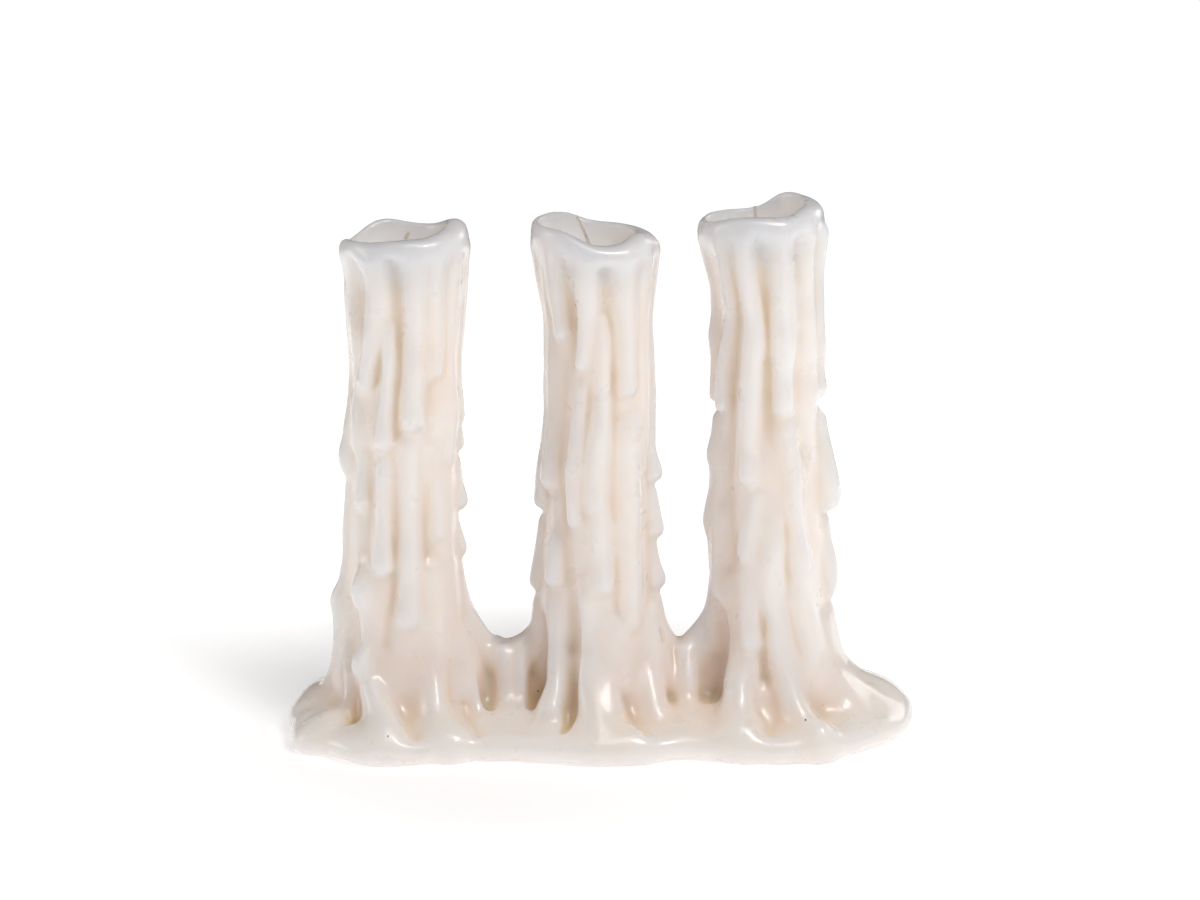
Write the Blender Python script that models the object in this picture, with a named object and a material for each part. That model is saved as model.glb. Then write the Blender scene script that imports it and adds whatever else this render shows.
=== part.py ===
# Melted candle: one cast block of ivory wax, with three dripping pillar stems that stand in a
# shared pool of set wax, and three cotton wicks. Blender 4.5, metres, +Z up.
#
# Frame: origin at the middle of the footprint, on the surface that the pool rests on.
# +X runs along the row of stems, -Y is the front, +Z is up.
# The tables below are in millimetres and degrees. An angle is measured round a stem from its
# front (0 = -Y) towards +X, so 90 is the right flank, -90 the left flank and 180 the back.

import math

import bmesh
import bpy
from mathutils import Vector

MM = 0.001                    # table unit to metres

# ------------------------------------------------------------------ driving dimensions
LIP_RADIUS = 22.2             # outer radius of the smooth band at each stem's top
LIP_ROUND = 2.3               # half the thickness of the rounded lip
BAND_HEIGHT = 9.0             # how far the smooth band reaches down from the lip
CUP_DEPTH = 12.5              # melt cup, below the lowest point of the lip
CUP_FLOOR_RADIUS = 10.5
WICK_RADIUS = 0.7
WICK_GAP = 0.3                # clearance round a wick in its bore
VOXEL = 1.1                   # grain of the melt that runs all the shapes together
MELT_ROUNDS = 5               # rounds of smoothing after it
FOOT_ROUNDS = 8               # further rounds on the feet and the pool, which set last
FOOT_HEIGHT = 34.0            # where they fade out
FACE_SHARE = 0.036            # share of the faces that the finished casting keeps
FLARE = 17.0                  # how far a stem's foot spreads at the floor
FLARE_FALL = 12.0             # height in which that spread falls to a third
FLARE_LOW = 6.0               # no further spread below this, inside the pool
LIP_CORNER = (1.4, 4.6)       # rounding of the lip's outer edge, at a stem's left and its right
CUP_SHIFT = -2.4              # the wicks burned towards the left walls, which are thin at the lip
CUP_LEAN = 16.0               # depth in which the cup comes back to the middle
CUP_TAPER = 0.24              # how much the cup's wall leans in, going down

# Each stem's core, which is the floor of the valleys between its drips:
# (height, middle x, radius)
CORE = {
    "left":   ((0, -73.0, 27.5), (10, -73.0, 25.5), (30, -72.8, 22.3), (60, -72.6, 19.8),
               (90, -71.6, 18.6), (120, -70.2, 18.6), (150, -69.6, 18.8), (180, -69.2, 19.6)),
    "middle": ((0, 0.0, 27.0), (10, -0.3, 25.5), (30, -0.8, 22.4), (60, -1.2, 19.8),
               (90, -0.8, 18.8), (120, -0.6, 18.0), (150, -0.6, 17.7), (180, -2.0, 19.3)),
    "right":  ((0, 62.5, 28.5), (10, 62.5, 26.8), (30, 62.4, 23.2), (60, 62.0, 20.4),
               (90, 61.4, 19.2), (120, 60.6, 17.9), (150, 60.0, 17.9), (180, 57.8, 19.6)),
}

# Height of the lip every 30 degrees round the stem, from -180 (the back) to 150
LIP = {
    "left":   (184.8, 185.9, 181.9, 181.0, 182.6, 183.0, 184.0, 184.4, 185.8, 187.6, 187.3, 185.2),
    "middle": (185.9, 188.6, 188.6, 188.2, 188.0, 186.6, 182.2, 181.7, 184.2, 184.2, 184.3, 184.8),
    "right":  (190.2, 189.4, 189.3, 188.6, 189.7, 191.3, 192.0, 191.9, 193.8, 194.6, 195.2, 195.4),
}

# Drips: (angle, height, half width, height of its crest over the core), from the top down.
# The last point is the bead at the drip's end.
DRIPS = {
    "left": (
        # front
        ((-29, 176, 4.6, 2.7), (-30, 164, 4.7, 3.0), (-32, 154, 4.2, 3.0), (-38, 144, 3.7, 3.0), (-44, 136, 3.6, 3.2), (-46, 132, 3.8, 3.4)),
        ((-17, 153, 1.6, 0.8), (-15, 147, 2.0, 1.8), (-16, 139, 2.2, 2.3), (-18, 129, 2.3, 2.4), (-21, 120, 2.6, 2.7),
         (-21, 112, 3.4, 4.0)),
        ((-22, 104, 1.6, 0.8), (-22, 94, 1.9, 1.5), (-20, 83, 2.3, 2.1), (-17, 73, 3.0, 3.0), (-16, 66, 3.8, 4.1)),
        ((-55, 117, 1.8, 1.2), (-53, 104, 1.9, 1.7), (-50, 93, 2.3, 2.2), (-48, 88, 3.2, 3.4)),
        ((14, 176, 4.8, 2.7), (13, 166, 4.2, 3.0), (13, 152, 4.1, 3.1), (12, 138, 4.1, 3.3), (11, 127, 4.4, 3.8), (10.5, 120, 4.6, 4.5)),
        ((9, 110, 4.0, 1.6), (11, 98, 4.0, 2.4), (12, 84, 4.0, 2.6), (12, 69, 4.1, 2.9), (10, 57, 4.8, 3.8), (9, 47, 5.4, 4.8)),
        ((37, 176, 4.2, 2.4), (37, 164, 3.8, 2.1), (37, 148, 3.7, 2.1), (36, 137, 3.6, 2.6)),
        ((44, 104, 1.8, 1.2), (44, 90, 2.0, 1.7), (43, 77, 2.6, 2.5)),
        ((40, 64, 3.0, 1.6), (39, 48, 3.2, 2.4), (38, 37, 3.4, 3.0), (33, 27, 3.8, 4.4), (28, 19, 4.6, 8.0), (26, 12, 5.4, 13.0), (24, 6, 5.8, 18.0)),
        ((-38, 63, 2.2, 1.2), (-37, 55.5, 4.9, 6.6), (-32, 47.5, 2.9, 2.5), (-30, 38, 2.9, 2.7), (-31, 30.5, 4.9, 8.2),
         (-26, 25, 3.9, 5.6), (-19, 20.5, 5.0, 8.2), (-12, 15, 5.6, 11.5), (-5, 9, 6.4, 16.0)),
        ((64, 175, 4.2, 2.6), (63, 150, 3.8, 2.4), (65, 125, 3.6, 2.3), (64, 104, 3.6, 2.5)),
        ((60, 96, 4.8, 1.7), (60, 76, 5.0, 1.9), (60, 56, 5.2, 2.2), (56, 38, 5.2, 3.0), (52, 24, 5.5, 5.0), (50, 12, 6.0, 9.0)),
        ((-74, 178, 3.2, 2.6), (-72, 162, 2.6, 1.6), (-66, 146, 2.6, 1.5), (-64, 125, 2.8, 1.5), (-64, 108, 3.0, 1.8)),
        # left flank
        ((-86, 178, 3.4, 3.6), (-86, 170.2, 3.2, 3), (-86, 158.7, 3.0, 2.7), (-86, 146.6, 2.8, 2), (-86, 132.6, 2.6, 1.7),
         (-86, 120.6, 2.8, 2.3), (-86, 108.6, 3.6, 4.0), (-86, 102.1, 4.0, 5.0), (-87, 98.6, 3.6, 4.2)),
        ((-88, 91.6, 3.0, 2.4), (-88, 76.6, 3.0, 2.8), (-88, 63.6, 2.8, 2.9), (-88, 54.6, 3.4, 3.6), (-88, 48.6, 4.0, 5.4), (-88, 44.6, 3.4, 4.5)),
        ((-90, 38.6, 2.8, 3.7), (-90, 27, 3.0, 3.6), (-90, 17, 3.4, 4.0)),
        # right flank
        ((88, 178, 3.4, 3.2), (88, 168.9, 3.0, 2.7), (88, 151.2, 3.0, 2.4), (88, 132, 2.8, 2.1), (88, 122, 3.0, 2.8), (88, 117, 3.1, 3.3)),
        ((87, 111, 2.6, 3.2), (87, 107, 2.9, 4.1)),
        ((88, 100, 2.8, 2.5), (88, 92, 3.5, 3.6), (88, 86, 4.0, 5.2)),
        ((88, 77, 2.8, 2.0), (88, 73, 3.4, 3.3), (88, 68, 3.9, 4.9)),
        ((86, 61, 2.8, 2.7), (84, 48, 3.4, 4.0), (84, 34, 4.5, 5.8)),
        # back
        ((112, 175, 4.0, 2.6), (114, 150, 3.4, 2.6), (112, 132, 3.3, 2.8), (110, 118, 3.8, 4.0)),
        ((136, 175, 3.2, 2.6), (134, 155, 2.8, 2.4), (136, 128, 2.8, 2.4), (138, 98, 2.9, 2.6), (138, 84, 3.5, 3.8)),
        ((160, 175, 4.2, 2.6), (162, 148, 3.8, 3.0), (160, 130, 4.2, 4.2)),
        ((184, 175, 3.2, 2.6), (184, 140, 2.6, 2.2), (180, 112, 2.8, 2.6), (178, 96, 3.3, 3.6)),
        ((206, 175, 4.4, 2.6), (208, 146, 3.8, 3.0), (210, 120, 3.5, 3.0), (210, 106, 3.9, 4.1)),
        ((234, 175, 3.4, 2.6), (236, 150, 3.0, 2.5), (236, 136, 3.3, 3.6)),
        ((238, 118, 2.6, 1.6), (240, 92, 3.0, 2.4), (242, 66, 3.7, 3.8)),
        ((158, 112, 2.8, 1.6), (158, 84, 3.3, 2.6), (160, 56, 3.9, 3.8)),
        ((112, 104, 3.0, 1.6), (112, 78, 3.5, 2.4), (112, 52, 3.9, 3.4)),
        ((206, 88, 3.2, 1.6), (204, 62, 3.6, 2.6), (200, 36, 4.0, 4.0), (196, 18, 5.0, 8.0), (192, 7, 6.0, 15.0)),
        ((134, 44, 3.0, 1.6), (132, 28, 3.8, 3.2), (130, 14, 5.0, 8.0)),
    ),
    "middle": (
        # front
        ((-50, 177, 4.0, 2.7), (-51, 168, 3.6, 2.8), (-49, 158, 3.3, 3.1), (-46, 150, 3.6, 3.6)),
        ((-11, 176, 4.4, 2.7), (-12, 165, 3.8, 2.9), (-14, 155, 3.4, 2.9), (-16, 147, 3.2, 3.0), (-20, 139, 3.4, 3.7)),
        ((-20, 131, 2.2, 1.2), (-23, 122, 2.6, 2.1), (-25, 110, 2.8, 2.5), (-26, 97, 2.8, 2.5), (-26, 90, 2.9, 2.7), (-26, 82, 3.2, 3.4)),
        ((5, 155, 1.9, 0.9), (6, 147, 2.6, 1.9), (6, 134, 2.9, 2.3), (4, 120, 3.5, 2.6), (0, 109, 4.0, 2.9), (-3, 98, 4.2, 3.1), (-3, 89, 4.6, 4.0)),
        ((1, 84, 3.8, 2.2), (3, 73, 4.6, 3.2), (5, 66, 4.8, 3.6), (6, 60, 4.8, 4.5)),
        ((36, 177, 4.8, 2.8), (35, 162, 4.6, 3.0), (35, 148, 4.5, 3.3), (35, 131, 4.4, 4.1)),
        ((42, 118, 5.2, 2.0), (41, 101, 5.6, 2.6), (40, 83, 5.6, 2.8), (40, 68, 5.4, 2.9), (40, 55, 5.2, 2.8), (38, 44, 4.8, 2.4)),
        ((62, 176, 4.2, 2.7), (62, 150, 3.8, 2.6), (62, 125, 3.6, 2.5), (62, 100, 3.6, 2.4)),
        ((-66, 178, 1.9, 2.0), (-71, 166, 1.6, 1.5), (-72, 150, 1.6, 1.3), (-72, 132, 1.8, 1.5), (-71, 117, 2.0, 1.9), (-67, 104, 2.8, 2.8), (-64, 95, 3.4, 3.8)),
        ((-54, 88, 1.4, 0.9), (-52, 78, 1.9, 1.5), (-50, 68, 3.3, 3.2), (-49, 60.5, 4.0, 4.4)),
        ((-12, 58, 1.8, 1.0), (-9, 53, 3.0, 3.0), (-8, 46, 3.4, 3.3), (-8, 36, 3.8, 3.9), (-7, 24, 4.4, 6.8),
         (-3, 16, 5.4, 11.5), (0, 9, 6.5, 16.5)),
        ((-50, 51, 2.8, 1.8), (-46, 41, 3.5, 2.8), (-41, 31, 3.9, 4.2), (-35, 23, 4.4, 7.0), (-33, 15, 5.4, 12.0)),
        ((66, 44, 3.2, 2.4), (60, 33, 3.8, 3.8), (50, 23, 4.6, 5.4), (40, 12, 5.5, 11.0)),
        ((16, 42, 4.6, 1.4), (12, 30, 5.0, 2.8), (8, 20, 5.2, 7.0), (10, 12, 5.4, 12.0), (12, 6, 5.8, 16.5)),
        # left flank
        ((-88, 178, 3.4, 3.1), (-88, 168.4, 3.2, 2.9), (-88, 162.1, 3.0, 2.5), (-88, 152, 2.8, 1.9), (-88, 134.2, 2.8, 2),
         (-88, 118.2, 2.8, 2.7), (-88, 104.2, 2.8, 3.2), (-86, 94.2, 3.5, 4.2), (-85, 86.2, 4.0, 5.0)),
        ((-88, 78.2, 2.8, 2.5), (-88, 65.2, 2.8, 3.2), (-87, 55.7, 3.3, 4.5)),
        ((-86, 47.2, 2.8, 2.2), (-80, 40.2, 3.0, 2.4), (-84, 31, 4.0, 4.4)),
        # right flank
        ((88, 178, 3.4, 4.2), (88, 171.1, 3.0, 3.6), (88, 161.3, 2.8, 2.9), (88, 143, 2.8, 2.8), (88, 123, 2.8, 3.4),
         (88, 108, 3.2, 4.0), (88, 101, 3.9, 5.2), (87, 96, 4.4, 6.3)),
        ((88, 89, 3.4, 3.5), (87, 81, 3.9, 5.0), (86, 75.5, 4.4, 6.3)),
        ((86, 68, 3.4, 3.3), (86, 61, 3.7, 4.6), (86, 56.5, 4.2, 6.0)),
        ((84, 49, 3.0, 3.5), (84, 41, 3.4, 4.4), (86, 31.7, 4.2, 5.6)),
        # back
        ((114, 175, 3.6, 2.6), (114, 146, 3.0, 2.4), (116, 124, 3.0, 2.6), (116, 108, 3.5, 3.8)),
        ((138, 175, 4.4, 2.6), (138, 152, 4.0, 3.2), (138, 136, 4.2, 4.4)),
        ((162, 176, 3.0, 2.5), (160, 146, 2.6, 2.0), (160, 116, 2.8, 2.4), (160, 98, 3.4, 3.6)),
        ((188, 176, 4.4, 2.7), (188, 150, 3.8, 3.0), (190, 126, 3.7, 3.0), (190, 112, 4.0, 4.2)),
        ((212, 176, 3.2, 2.5), (214, 152, 2.8, 2.4), (216, 140, 3.3, 3.6)),
        ((238, 176, 4.0, 2.6), (240, 142, 3.2, 2.4), (238, 112, 3.2, 2.6), (238, 90, 3.7, 3.8)),
        ((212, 126, 2.4, 1.4), (212, 96, 2.8, 2.2), (212, 74, 3.5, 3.6)),
        ((136, 118, 2.6, 1.4), (136, 88, 3.2, 2.6), (134, 62, 3.8, 3.8)),
        ((182, 92, 3.2, 1.8), (180, 66, 3.6, 2.6), (178, 40, 4.0, 3.8), (176, 20, 5.0, 8.0), (172, 7, 6.0, 15.0)),
        ((226, 60, 3.0, 1.6), (228, 40, 3.6, 2.6), (228, 18, 5.0, 7.0)),
        ((118, 84, 2.8, 1.6), (120, 58, 3.4, 2.8), (122, 34, 4.0, 4.2), (124, 14, 5.0, 8.0)),
    ),
    "right": (
        # front
        ((-50, 184, 2.8, 2.6), (-48, 174, 2.5, 2.5), (-47, 163, 2.4, 2.4), (-49, 155, 2.3, 2.3), (-58, 146, 2.3, 2.4),
         (-63, 136, 2.5, 2.8), (-62, 123, 3.6, 4.4)),
        ((-22, 183, 4.6, 2.7), (-22, 175, 4.0, 2.9), (-20, 164, 3.8, 3.1), (-18, 152, 3.8, 3.1), (-20, 138, 3.8, 3.2),
         (-23, 123, 3.8, 3.3), (-24, 109, 3.8, 3.4), (-24, 99, 3.9, 4.0)),
        ((21, 186, 5.0, 2.7), (19, 170, 4.6, 3.0), (17, 153, 4.4, 3.2), (16, 136, 4.2, 3.3), (16, 124, 4.3, 4.0)),
        ((22, 116, 3.4, 2.4), (25, 105, 3.6, 2.9), (27, 88, 3.9, 3.1), (31, 74, 4.2, 3.5), (32, 66, 4.6, 4.0)),
        ((32, 58, 4.0, 1.8), (35, 48, 4.6, 2.9), (40, 37, 5.6, 3.0), (46, 28, 7.0, 3.6), (54, 20, 8.0, 6.0), (60, 12, 8.0, 11.0)),
        ((56, 184, 3.6, 2.6), (58, 168, 3.2, 2.4), (60, 145, 3.0, 2.2), (61, 125, 3.1, 2.5)),
        ((-16, 92, 2.4, 1.4), (-21, 84, 3.0, 2.2), (-25, 77, 3.4, 3.1), (-26, 71, 3.9, 4.0)),
        ((2, 82, 2.4, 0.9), (1, 74, 3.4, 2.6), (-3, 64, 4.0, 3.3), (-3, 56, 3.9, 3.4), (4, 46, 3.8, 3.3), (6, 36, 3.9, 3.6), (10, 26, 4.4, 5.2),
         (15, 17, 4.9, 9.0), (20, 10, 5.5, 13.0), (24, 5, 5.5, 17.0)),
        ((-23, 66, 3.0, 1.4), (-24, 56, 3.6, 2.6), (-22, 45, 4.6, 4.0), (-21, 38, 4.6, 4.2)),
        ((-28, 29, 3.6, 3.0), (-26, 22, 4.8, 6.9), (-21, 15, 5.6, 11.2), (-18, 8, 6.5, 16.0)),
        ((-78, 116, 1.6, 1.1), (-74, 94, 2.0, 1.6), (-72, 77, 2.4, 2.2), (-68, 60, 3.2, 3.0), (-58, 51, 3.9, 4.0)),
        # left flank
        ((-88, 184, 3.2, 2.3), (-87, 173.6, 2.8, 1.4), (-86, 165.1, 2.6, 0.7), (-86, 155.4, 2.7, 1.8), (-86, 146.9, 3.0, 3.3),
         (-86, 139.4, 2.6, 2), (-86, 131.4, 2.8, 2.9), (-86, 124.4, 3.1, 4.2)),
        ((-86, 117.4, 2.6, 2.4), (-86, 108.4, 2.8, 3.0), (-86, 102.9, 3.0, 3.8), (-86, 97.4, 2.6, 2.3), (-86, 89.4, 2.8, 2.9),
         (-86, 78.4, 3.5, 4.5), (-86, 71.4, 3.0, 2.9), (-85, 61.4, 2.8, 1.6)),
        ((-84, 55.4, 2.8, 1.4), (-84, 33.4, 4.0, 3.6)),
        # right flank
        ((88, 184, 3.4, 4.8), (88, 169, 3.0, 3.8), (88, 151.6, 3.0, 3.6), (88, 139.4, 3.0, 3.9), (88, 133.4, 3.2, 3.6), (88, 127.4, 3.5, 4.2)),
        ((86, 116.4, 3.2, 3.6), (85, 106.4, 4.0, 5.0), (84, 97.4, 4.6, 6.7), (84, 89.9, 5.0, 7.3), (84, 86.4, 4.9, 7.0)),
        ((88, 78.4, 2.8, 3.2), (88, 71.4, 2.8, 3.6), (88, 62.4, 3.8, 5.4), (88, 57.4, 4.0, 5.7), (88, 52.4, 3.5, 4.3)),
        ((88, 43.4, 4.4, 2.8), (88, 36, 6.0, 3.0), (90, 29, 8.5, 3.8), (92, 22, 10.0, 5.8), (94, 15, 11.0, 10.0), (96, 10, 10.0, 14.5)),
        ((66, 40, 6.0, 2.0), (67, 31, 8.0, 2.8), (70, 23, 9.0, 4.6), (74, 16, 9.5, 8.5), (78, 10, 9.0, 14.0)),
        # back
        ((114, 184, 4.2, 2.6), (114, 156, 3.8, 3.0), (116, 140, 4.1, 4.3)),
        ((136, 185, 3.2, 2.6), (136, 154, 2.6, 2.0), (134, 124, 2.8, 2.4), (134, 106, 3.4, 3.6)),
        ((162, 185, 4.4, 2.7), (162, 156, 3.8, 3.0), (160, 130, 3.5, 3.0), (158, 114, 3.9, 4.1)),
        ((188, 184, 3.4, 2.6), (190, 158, 3.0, 2.4), (190, 146, 3.5, 3.7)),
        ((212, 184, 4.0, 2.6), (212, 150, 3.4, 2.6), (210, 122, 3.4, 2.6), (210, 98, 3.8, 3.9)),
        ((238, 184, 3.4, 2.6), (240, 156, 2.9, 2.2), (240, 128, 3.5, 3.6)),
        ((186, 130, 2.4, 1.4), (186, 104, 2.8, 2.4), (184, 82, 3.5, 3.7)),
        ((238, 108, 2.6, 1.6), (236, 84, 3.1, 2.6), (236, 58, 3.8, 3.8)),
        ((112, 118, 2.6, 1.6), (112, 92, 3.2, 2.6), (112, 68, 3.9, 4.0)),
        ((158, 90, 3.2, 1.8), (158, 64, 3.6, 2.8), (156, 38, 4.2, 4.2), (154, 20, 5.0, 8.0), (152, 7, 6.0, 15.0)),
        ((206, 62, 3.0, 1.6), (206, 38, 3.8, 2.8), (208, 16, 5.0, 8.0)),
    ),
}

# Valleys between the drips that lie deeper than the core: (angle, height, half width, depth)
VALLEYS = {
    "left": (
        ((-11, 174.5, 3.4, 0.9), (-9, 168, 4.4, 1.7), (-7, 160, 4.8, 2.1), (-5, 150, 4.2, 2.1), (-2, 140, 3.6, 1.6), (-4, 131, 3.2, 1.0)),
        ((-28, 149, 2.0, 0.8), (-30, 141, 2.6, 1.4), (-33, 133, 2.6, 1.1)),
        ((-8, 131, 3.0, 1.1), (-8, 121, 3.8, 1.7), (-8, 112, 3.6, 1.2), (-8, 104, 3.0, 0.9)),
        ((-57, 174, 2.8, 0.6), (-56, 164, 3.2, 1.0), (-55, 152, 2.8, 0.7)),
        ((29, 172, 2.2, 0.5), (29, 165, 2.4, 0.7), (28, 157, 1.8, 0.4)),
        ((50, 174, 2.2, 0.5), (50, 168, 2.0, 0.5)),
        ((33, 129, 3.4, 1.1), (34, 121, 4.0, 1.7), (34, 113, 3.2, 1.0)),
        ((34, 94, 2.6, 0.8), (35, 82, 3.6, 1.5), (35, 71, 4.2, 1.9), (34, 66, 3.6, 1.2)),
        ((-38, 106, 2.4, 0.9), (-38, 92, 3.0, 1.4), (-38, 76, 2.8, 1.1), (-36, 66, 2.4, 0.7)),
        ((-6, 100, 2.8, 0.9), (-4, 84, 3.4, 1.4), (-3, 68, 3.6, 1.6), (-4, 55, 3.0, 1.1), (-10, 47, 3.4, 0.9), (-12, 38, 3.2, 0.7)),
        ((-64, 52, 2.8, 0.8), (-60, 41, 3.8, 1.8), (-55, 29, 4.0, 2.1)),
    ),
    "middle": (
        ((-40, 175, 3.2, 1.0), (-38, 168, 3.9, 1.7), (-34, 160, 4.0, 2.0), (-33, 150, 3.8, 2.0), (-37, 141, 4.0, 1.7)),
        ((-46, 141, 4.0, 1.3), (-47, 130, 4.6, 2.0), (-47, 112, 4.4, 2.0), (-46, 94, 4.2, 1.8), (-42, 84, 4.0, 1.5), (-38, 72, 4.0, 1.5), (-34, 62, 4.0, 1.4)),
        ((10, 171.5, 3.2, 0.9), (11, 165, 4.6, 1.8), (13, 157, 4.8, 1.9), (18, 148, 3.6, 1.7), (19, 138, 3.2, 1.7), (19, 126, 3.2, 1.6), (18, 112, 2.8, 1.1),
         (18, 98, 2.8, 1.1), (19, 84, 2.6, 0.9)),
        ((-12, 130, 2.0, 0.7), (-14, 112, 2.4, 1.0), (-15, 95, 2.4, 0.9), (-14, 86, 2.0, 0.6)),
        ((20, 121, 3.0, 1.2), (27, 120, 3.2, 1.5), (34, 120, 2.8, 1.1)),
        ((25, 68, 2.6, 0.9), (24, 53, 3.4, 1.5), (22, 41, 3.4, 1.1)),
        ((-28, 60, 2.8, 0.9), (-27, 48, 3.6, 1.9), (-26, 36, 3.8, 2.6)),
    ),
    "right": (
        ((-10, 181, 3.4, 1.1), (-7, 175, 4.3, 1.9), (-4, 168, 4.5, 2.3), (-1, 158, 4.3, 2.4), (-1, 146, 4.1, 2.4), (-1, 132, 4.0, 2.3), (-1, 120, 4.4, 2.6), (0, 112, 3.4, 1.3)),
        ((33, 181.5, 3.2, 0.8), (34, 178, 3.0, 0.8), (36, 170, 2.6, 0.6)),
        ((-36, 172, 2.4, 0.8), (-36, 162, 2.8, 1.2), (-40, 150, 3.2, 1.6), (-46, 138, 3.6, 1.9), (-53, 124, 3.8, 2.1), (-54, 106, 3.8, 2.1),
         (-52, 88, 3.6, 1.8), (-46, 72, 4.0, 2.0), (-46, 64, 3.6, 1.6)),
        ((-9, 62, 3.0, 1.0), (-8, 50, 3.9, 1.8), (-7, 38, 4.3, 2.4), (-5, 27, 4.0, 2.0)),
        ((18, 84, 2.6, 0.9), (19, 74, 3.6, 1.7), (20, 65, 4.0, 2.1), (20, 57, 3.6, 1.3)),
        ((18, 50, 2.8, 1.0), (22, 43, 3.6, 1.7), (29, 34, 3.8, 1.8)),
        ((38, 150, 2.8, 0.8), (38, 125, 3.0, 1.0), (44, 108, 3.0, 0.8)),
    ),
}

# Runs that belong to no stem, as (x, y, z, radius) from end to end: the webs that join the
# feet of the stems, and the drips that hang from them down to the pool.
RUNS = (
    # web between left and middle: a hanging U, then its body
    ((-56, 0, 47, 8.0), (-52, 0, 39.5, 8.0), (-47.7, 0, 32.3, 8.0), (-43, 0, 27.5, 8.0), (-35, 0, 25, 8.0),
     (-27.5, 0, 27, 8.0), (-22.5, 0, 30.5, 8.0), (-18.5, 0, 36, 8.0), (-16, 0, 44, 8.0)),
    ((-60, 0, 13, 12.0), (-36, 0, 12, 12.0), (-12, 0, 13, 12.0)),
    # web between middle and right: two runs that meet in a V, then its body
    ((13.5, 0, 45, 8.0), (17, 0, 37, 8.0), (21, 0, 28.5, 8.0), (25, 0, 20, 8.0)),
    ((48, 0, 43, 8.0), (45, 0, 39, 8.0), (39.4, 0, 31.3, 8.0), (33, 0, 22.5, 8.0)),
    ((14, 0, 13, 12.0), (30, 0, 12, 12.0), (50, 0, 13, 12.0)),
    ((16, -5, 30, 8.0), (23, -6, 20, 8.5), (30, -6, 14, 9.0)),
    ((-54, -8, 36, 6.5), (-50, -11, 24, 7.5), (-48, -15, 12, 9.0)),
    # drips in front of the webs
    ((-35, -6, 30, 3.2), (-34.6, -10, 22, 3.4), (-34.2, -14, 14, 3.8), (-34, -19, 7, 5.0)),
    ((-29, -5, 31, 3.0), (-28.7, -10, 23, 3.2), (-28.3, -14, 14, 3.6), (-28, -19, 7, 4.8)),
    ((32, -5, 30, 3.4), (32.6, -10, 22, 3.7), (32.6, -14, 14, 4.0), (32, -19, 8, 5.2)),
    # drips behind the webs
    ((-38, 5, 30, 3.2), (-38.5, 10, 22, 3.4), (-39, 15, 13, 3.8), (-39, 20, 6, 4.8)),
    ((-27, 5, 31, 2.8), (-26.5, 10, 22, 3.2), (-26, 15, 12, 3.8), (-26, 19, 6, 4.8)),
    ((27, 5, 29, 3.2), (27, 10, 21, 3.4), (27, 16, 12, 4.0), (27, 20, 6, 5.0)),
    ((37, 6, 33, 3.0), (37.5, 11, 22, 3.4), (38, 16, 12, 3.8), (38, 20, 6, 4.8)),
)

# Hollows at the foot, cut by round runs (x, y, z, radius), each with how softly its rim rolls over
POCKETS = (
    # in the webs, between the drips that hang from them
    (((-40.8, -13.0, 32, 1.5), (-40.6, -13.5, 24, 3.2), (-40.6, -16, 16, 3.9), (-40.5, -18.5, 12.5, 2.8)), 5.0),
    (((-20.4, -10.5, 43, 2.2), (-21.0, -12, 30, 3.6), (-21.6, -14, 17, 4.5), (-22.6, -17.5, 11.2, 3.4)), 5.0),
    (((40.5, -14, 52, 2.0), (41.3, -11, 42, 4.6), (41.7, -12, 29, 6.0), (41.5, -15, 19.2, 5.5)), 6.5),
    # between the roots of the left stem
    (((-90, -12, 48, 1.4), (-91, -14, 36, 2.6), (-91.3, -17, 26, 3.2), (-90, -22, 17, 3.8), (-89.5, -26, 11.5, 3.4)), 5.0),
    (((-70.5, -27, 32, 1.0), (-69.6, -29.4, 20, 2.0), (-68.5, -35, 13.0, 1.6), (-66, -40, 9.8, 1.0)), 9.0),
    (((-48.5, -22.4, 15.4, 0.8), (-46, -28.9, 11.6, 1.3), (-43, -35, 9.8, 0.9)), 9.0),
    # of the middle stem
    (((-10.5, -21, 54, 1.8), (-10.3, -21.3, 42, 2.8), (-10, -23, 30, 3.0), (-10, -26, 20, 3.1), (-11, -31, 11.5, 2.4), (-13, -37, 8, 1.4)), 4.5),
    (((9.5, -27, 19.5, 0.7), (13, -31.8, 14.0, 1.3), (17, -37.5, 9.4, 0.9)), 10.0),
    # of the right stem
    (((60.5, -27, 34, 0.9), (61.8, -28.4, 25, 1.7), (62.5, -32.4, 17, 1.6), (62, -37, 11.5, 0.9)), 10.0),
    # folds in the pool
    (((-110, -26, 11.2, 1.2), (-105, -20.5, 14.0, 1.8), (-99.5, -14.2, 15.8, 1.4)), 8.0),
    (((-99, -40, 7.4, 1.0), (-92, -43, 7.6, 1.2), (-85, -46, 7.2, 1.0)), 4.0),
)

# The pool's outline (x, y), anticlockwise from the left end, seen from above
POOL_OUTLINE = (
    (-114.6, -5), (-112.6, -16), (-107.3, -27), (-99.5, -36), (-89, -44.5), (-77, -48), (-64, -47), (-50, -43.5),
    (-35, -42), (-20, -44.5), (-4, -48), (12, -46), (28, -42), (44, -43), (57, -45), (68, -45.5), (80, -42.5),
    (89, -38.5), (97, -33), (104.5, -27), (110, -20.5), (114, -11), (115.8, 0),
    (114.8, 12), (110, 22), (99, 32), (86, 39), (70, 44), (53, 42.5), (36, 39), (20, 42), (3, 48), (-15, 45),
    (-32, 39.5), (-48, 41), (-65, 47), (-82, 45), (-96, 37), (-105.5, 25), (-112.4, 9),
)
POOL_SPINE = (-74.0, 68.0)    # the pool's sections run in from its outline to this line of stems
# The pool's section from the floor up: (distance in from the outline, height)
POOL_SECTION = ((4.4, -3.0), (3.2, 0.0), (1.3, 1.4), (0.0, 3.9), (1.0, 5.9), (3.2, 7.5), (7.0, 8.9),
                (13.0, 10.4), (22.0, 12.6), (33.0, 14.8))
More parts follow.
